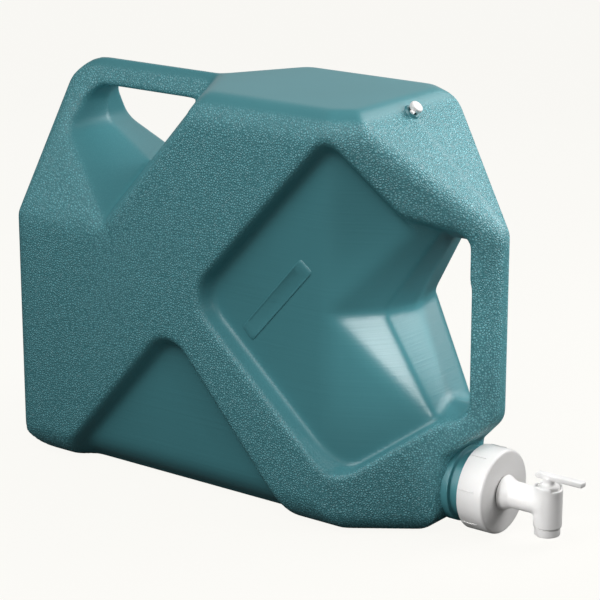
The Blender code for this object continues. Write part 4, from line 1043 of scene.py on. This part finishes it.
class CONTAINER_OT_vent(bpy.types.Operator):
    """Build the vent plug with its finger tab."""

    bl_idname = "container.vent"
    bl_label = "Vent plug"

    def execute(self, context):
        rows = np.array(VENT_PLACE.inverted())[:3]
        turn = (math.cos(VENT_TAB_ANGLE), math.sin(VENT_TAB_ANGLE))

        def vent_field(at):
            local = [ahead((row[:3], -row[3]), at) for row in rows]
            radial = np.hypot(local[0], local[1])
            along = local[0] * turn[0] + local[1] * turn[1]
            across = local[1] * turn[0] - local[0] * turn[1]
            head, stem = (round_bar(radial, local[2], *bar) for bar in (VENT_HEAD, VENT_STEM))
            tab = round_box((along, across, local[2]), *VENT_TAB)
            return welded(welded(head, stem, STEM_WELD), tab, TAB_WELD)

        low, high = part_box("vent_plug")
        plug = field_object("vent_stopper", vent_field, low, high, VENT_STEP, white(context))
        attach(plug, "vent")
        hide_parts("vent_plug")
        return {"FINISHED"}


class CONTAINER_OT_seals(bpy.types.Operator):
    """Give the seals and the nut of the CAD model their finishes."""

    bl_idname = "container.seals"
    bl_label = "Seals and nut"

    def execute(self, context):
        rubber = make_rubber_finish()
        finishes = {
            "cap_gasket": make_foam_finish(), "tap_gasket": rubber, "plug_ring_upper": rubber,
            "plug_ring_lower": rubber, "vent_ring": rubber, "tap_nut": white(context)}
        for name, finish in finishes.items():
            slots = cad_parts[name].data.materials
            slots.clear()
            slots.append(finish)
        return {"FINISHED"}


# Studio

def put(name, data, place, direction):
    """Put a lamp or a camera into the scene, looking in a direction."""
    item = bpy.data.objects.new(name, data)
    bpy.context.scene.collection.objects.link(item)
    item.location = place
    item.rotation_euler = direction.to_track_quat("-Z", "Y").to_euler()
    return item


def add_lamp(name, place, aim, size, power, beam):
    """A rectangular soft lamp that looks at a point and isn't seen itself."""
    lamp = bpy.data.lights.new(name, "AREA")
    lamp.shape = "RECTANGLE"
    lamp.size, lamp.size_y = size
    lamp.spread = math.radians(beam)
    lamp.energy = power
    put(name, lamp, place, Vector(aim) - Vector(place)).visible_camera = False


class CONTAINER_OT_studio(bpy.types.Operator):
    """Set the pale floor, the soft lamps and the camera."""

    bl_idname = "container.studio"
    bl_label = "Studio"

    def execute(self, context):
        scene = context.scene
        settings = scene.container_studio
        backdrop = [*settings.backdrop, 1.0]
        finish, tree = new_finish("paper_backdrop")
        ray = add_node(tree, "ShaderNodeLightPath").outputs["Is Camera Ray"]
        matt = add_node(tree, "ShaderNodeBsdfDiffuse", {"Color": blended(tree, ray, FLOOR_SHADE, backdrop)})
        glow = add_node(tree, "ShaderNodeEmission", {"Color": backdrop, "Strength": 1.0})
        share = calculated(tree, "MULTIPLY", ray, FLOOR_GLOW_SHARE)
        mix = add_node(tree, "ShaderNodeMixShader", {0: share, 1: matt.outputs[0], 2: glow.outputs[0]})
        add_node(tree, "ShaderNodeOutputMaterial", {"Surface": mix.outputs[0]})
        bm = bmesh.new()
        bmesh.ops.create_grid(bm, x_segments=1, y_segments=1, size=FLOOR_HALF_WIDTH)
        bmesh.ops.translate(bm, verts=bm.verts[:], vec=(0, 0, -FLOOR_DROP))
        floor = bmesh_object("studio_floor", bm, finish)
        world = bpy.data.worlds.new("studio")
        scene.world = world
        world.use_nodes = True
        tree = world.node_tree
        tree.nodes.clear()
        ray = add_node(tree, "ShaderNodeLightPath").outputs["Is Camera Ray"]
        seen = add_node(tree, "ShaderNodeBackground", {"Color": backdrop, "Strength": 1.0})
        light = add_node(tree, "ShaderNodeBackground", {"Color": (1, 1, 1, 1), "Strength": settings.surround})
        mix = add_node(tree, "ShaderNodeMixShader", {0: ray, 1: light.outputs[0], 2: seen.outputs[0]})
        add_node(tree, "ShaderNodeOutputWorld", {"Surface": mix.outputs[0]})
        for name, place, aim, size, power, beam in LAMPS:
            add_lamp(name, place, aim, size, power * settings.lamp_power, beam)
        camera = bpy.data.cameras.new("photo_camera")
        camera.lens = CAMERA_LENS
        camera.sensor_width = 36.0
        camera.clip_end = 50.0
        looking = Vector((
            -math.sin(CAMERA_TURN) * math.cos(CAMERA_DROP), math.cos(CAMERA_TURN) * math.cos(CAMERA_DROP),
            -math.sin(CAMERA_DROP)))
        scene.camera = put("photo_camera", camera, CAMERA_TARGET - looking * CAMERA_DISTANCE, looking)
        scene.view_settings.view_transform = "Standard"
        return {"FINISHED"}


class CONTAINER_PT_panel(bpy.types.Panel):
    """Settings and pieces of the water container."""

    bl_idname = "CONTAINER_PT_panel"
    bl_label = "Water container"
    bl_space_type = "VIEW_3D"
    bl_region_type = "UI"
    bl_category = "Container"

    def draw(self, context):
        for key in SETTINGS:
            group = getattr(context.scene, key)
            box = self.layout.box()
            for name in group.__annotations__:
                box.prop(group, name)
        for operator in OPERATORS:
            self.layout.operator(operator.bl_idname)


OPERATORS = (
    CONTAINER_OT_tank, CONTAINER_OT_plates, CONTAINER_OT_neck, CONTAINER_OT_cap, CONTAINER_OT_tap,
    CONTAINER_OT_vent, CONTAINER_OT_seals, CONTAINER_OT_studio)
SETTINGS = {"container_tank": TankSettings, "container_cap": CapSettings, "container_studio": StudioSettings}


def register():
    """Register the settings, the operators and the panel."""
    for name, group in SETTINGS.items():
        bpy.utils.register_class(group)
        setattr(bpy.types.Scene, name, bpy.props.PointerProperty(type=group))
    for operator in OPERATORS:
        bpy.utils.register_class(operator)
    bpy.utils.register_class(CONTAINER_PT_panel)


def unregister():
    """Take the panel, the operators and the settings away again."""
    bpy.utils.unregister_class(CONTAINER_PT_panel)
    for operator in reversed(OPERATORS):
        bpy.utils.unregister_class(operator)
    for name, group in SETTINGS.items():
        delattr(bpy.types.Scene, name)
        bpy.utils.unregister_class(group)


def main():
    """Build every piece and the studio."""
    register()
    bpy.ops.container.tank()
    bpy.ops.container.plates()
    bpy.ops.container.neck()
    bpy.ops.container.cap()
    bpy.ops.container.tap()
    bpy.ops.container.vent()
    bpy.ops.container.seals()
    bpy.ops.container.studio()


if __name__ == "__main__":
    main()
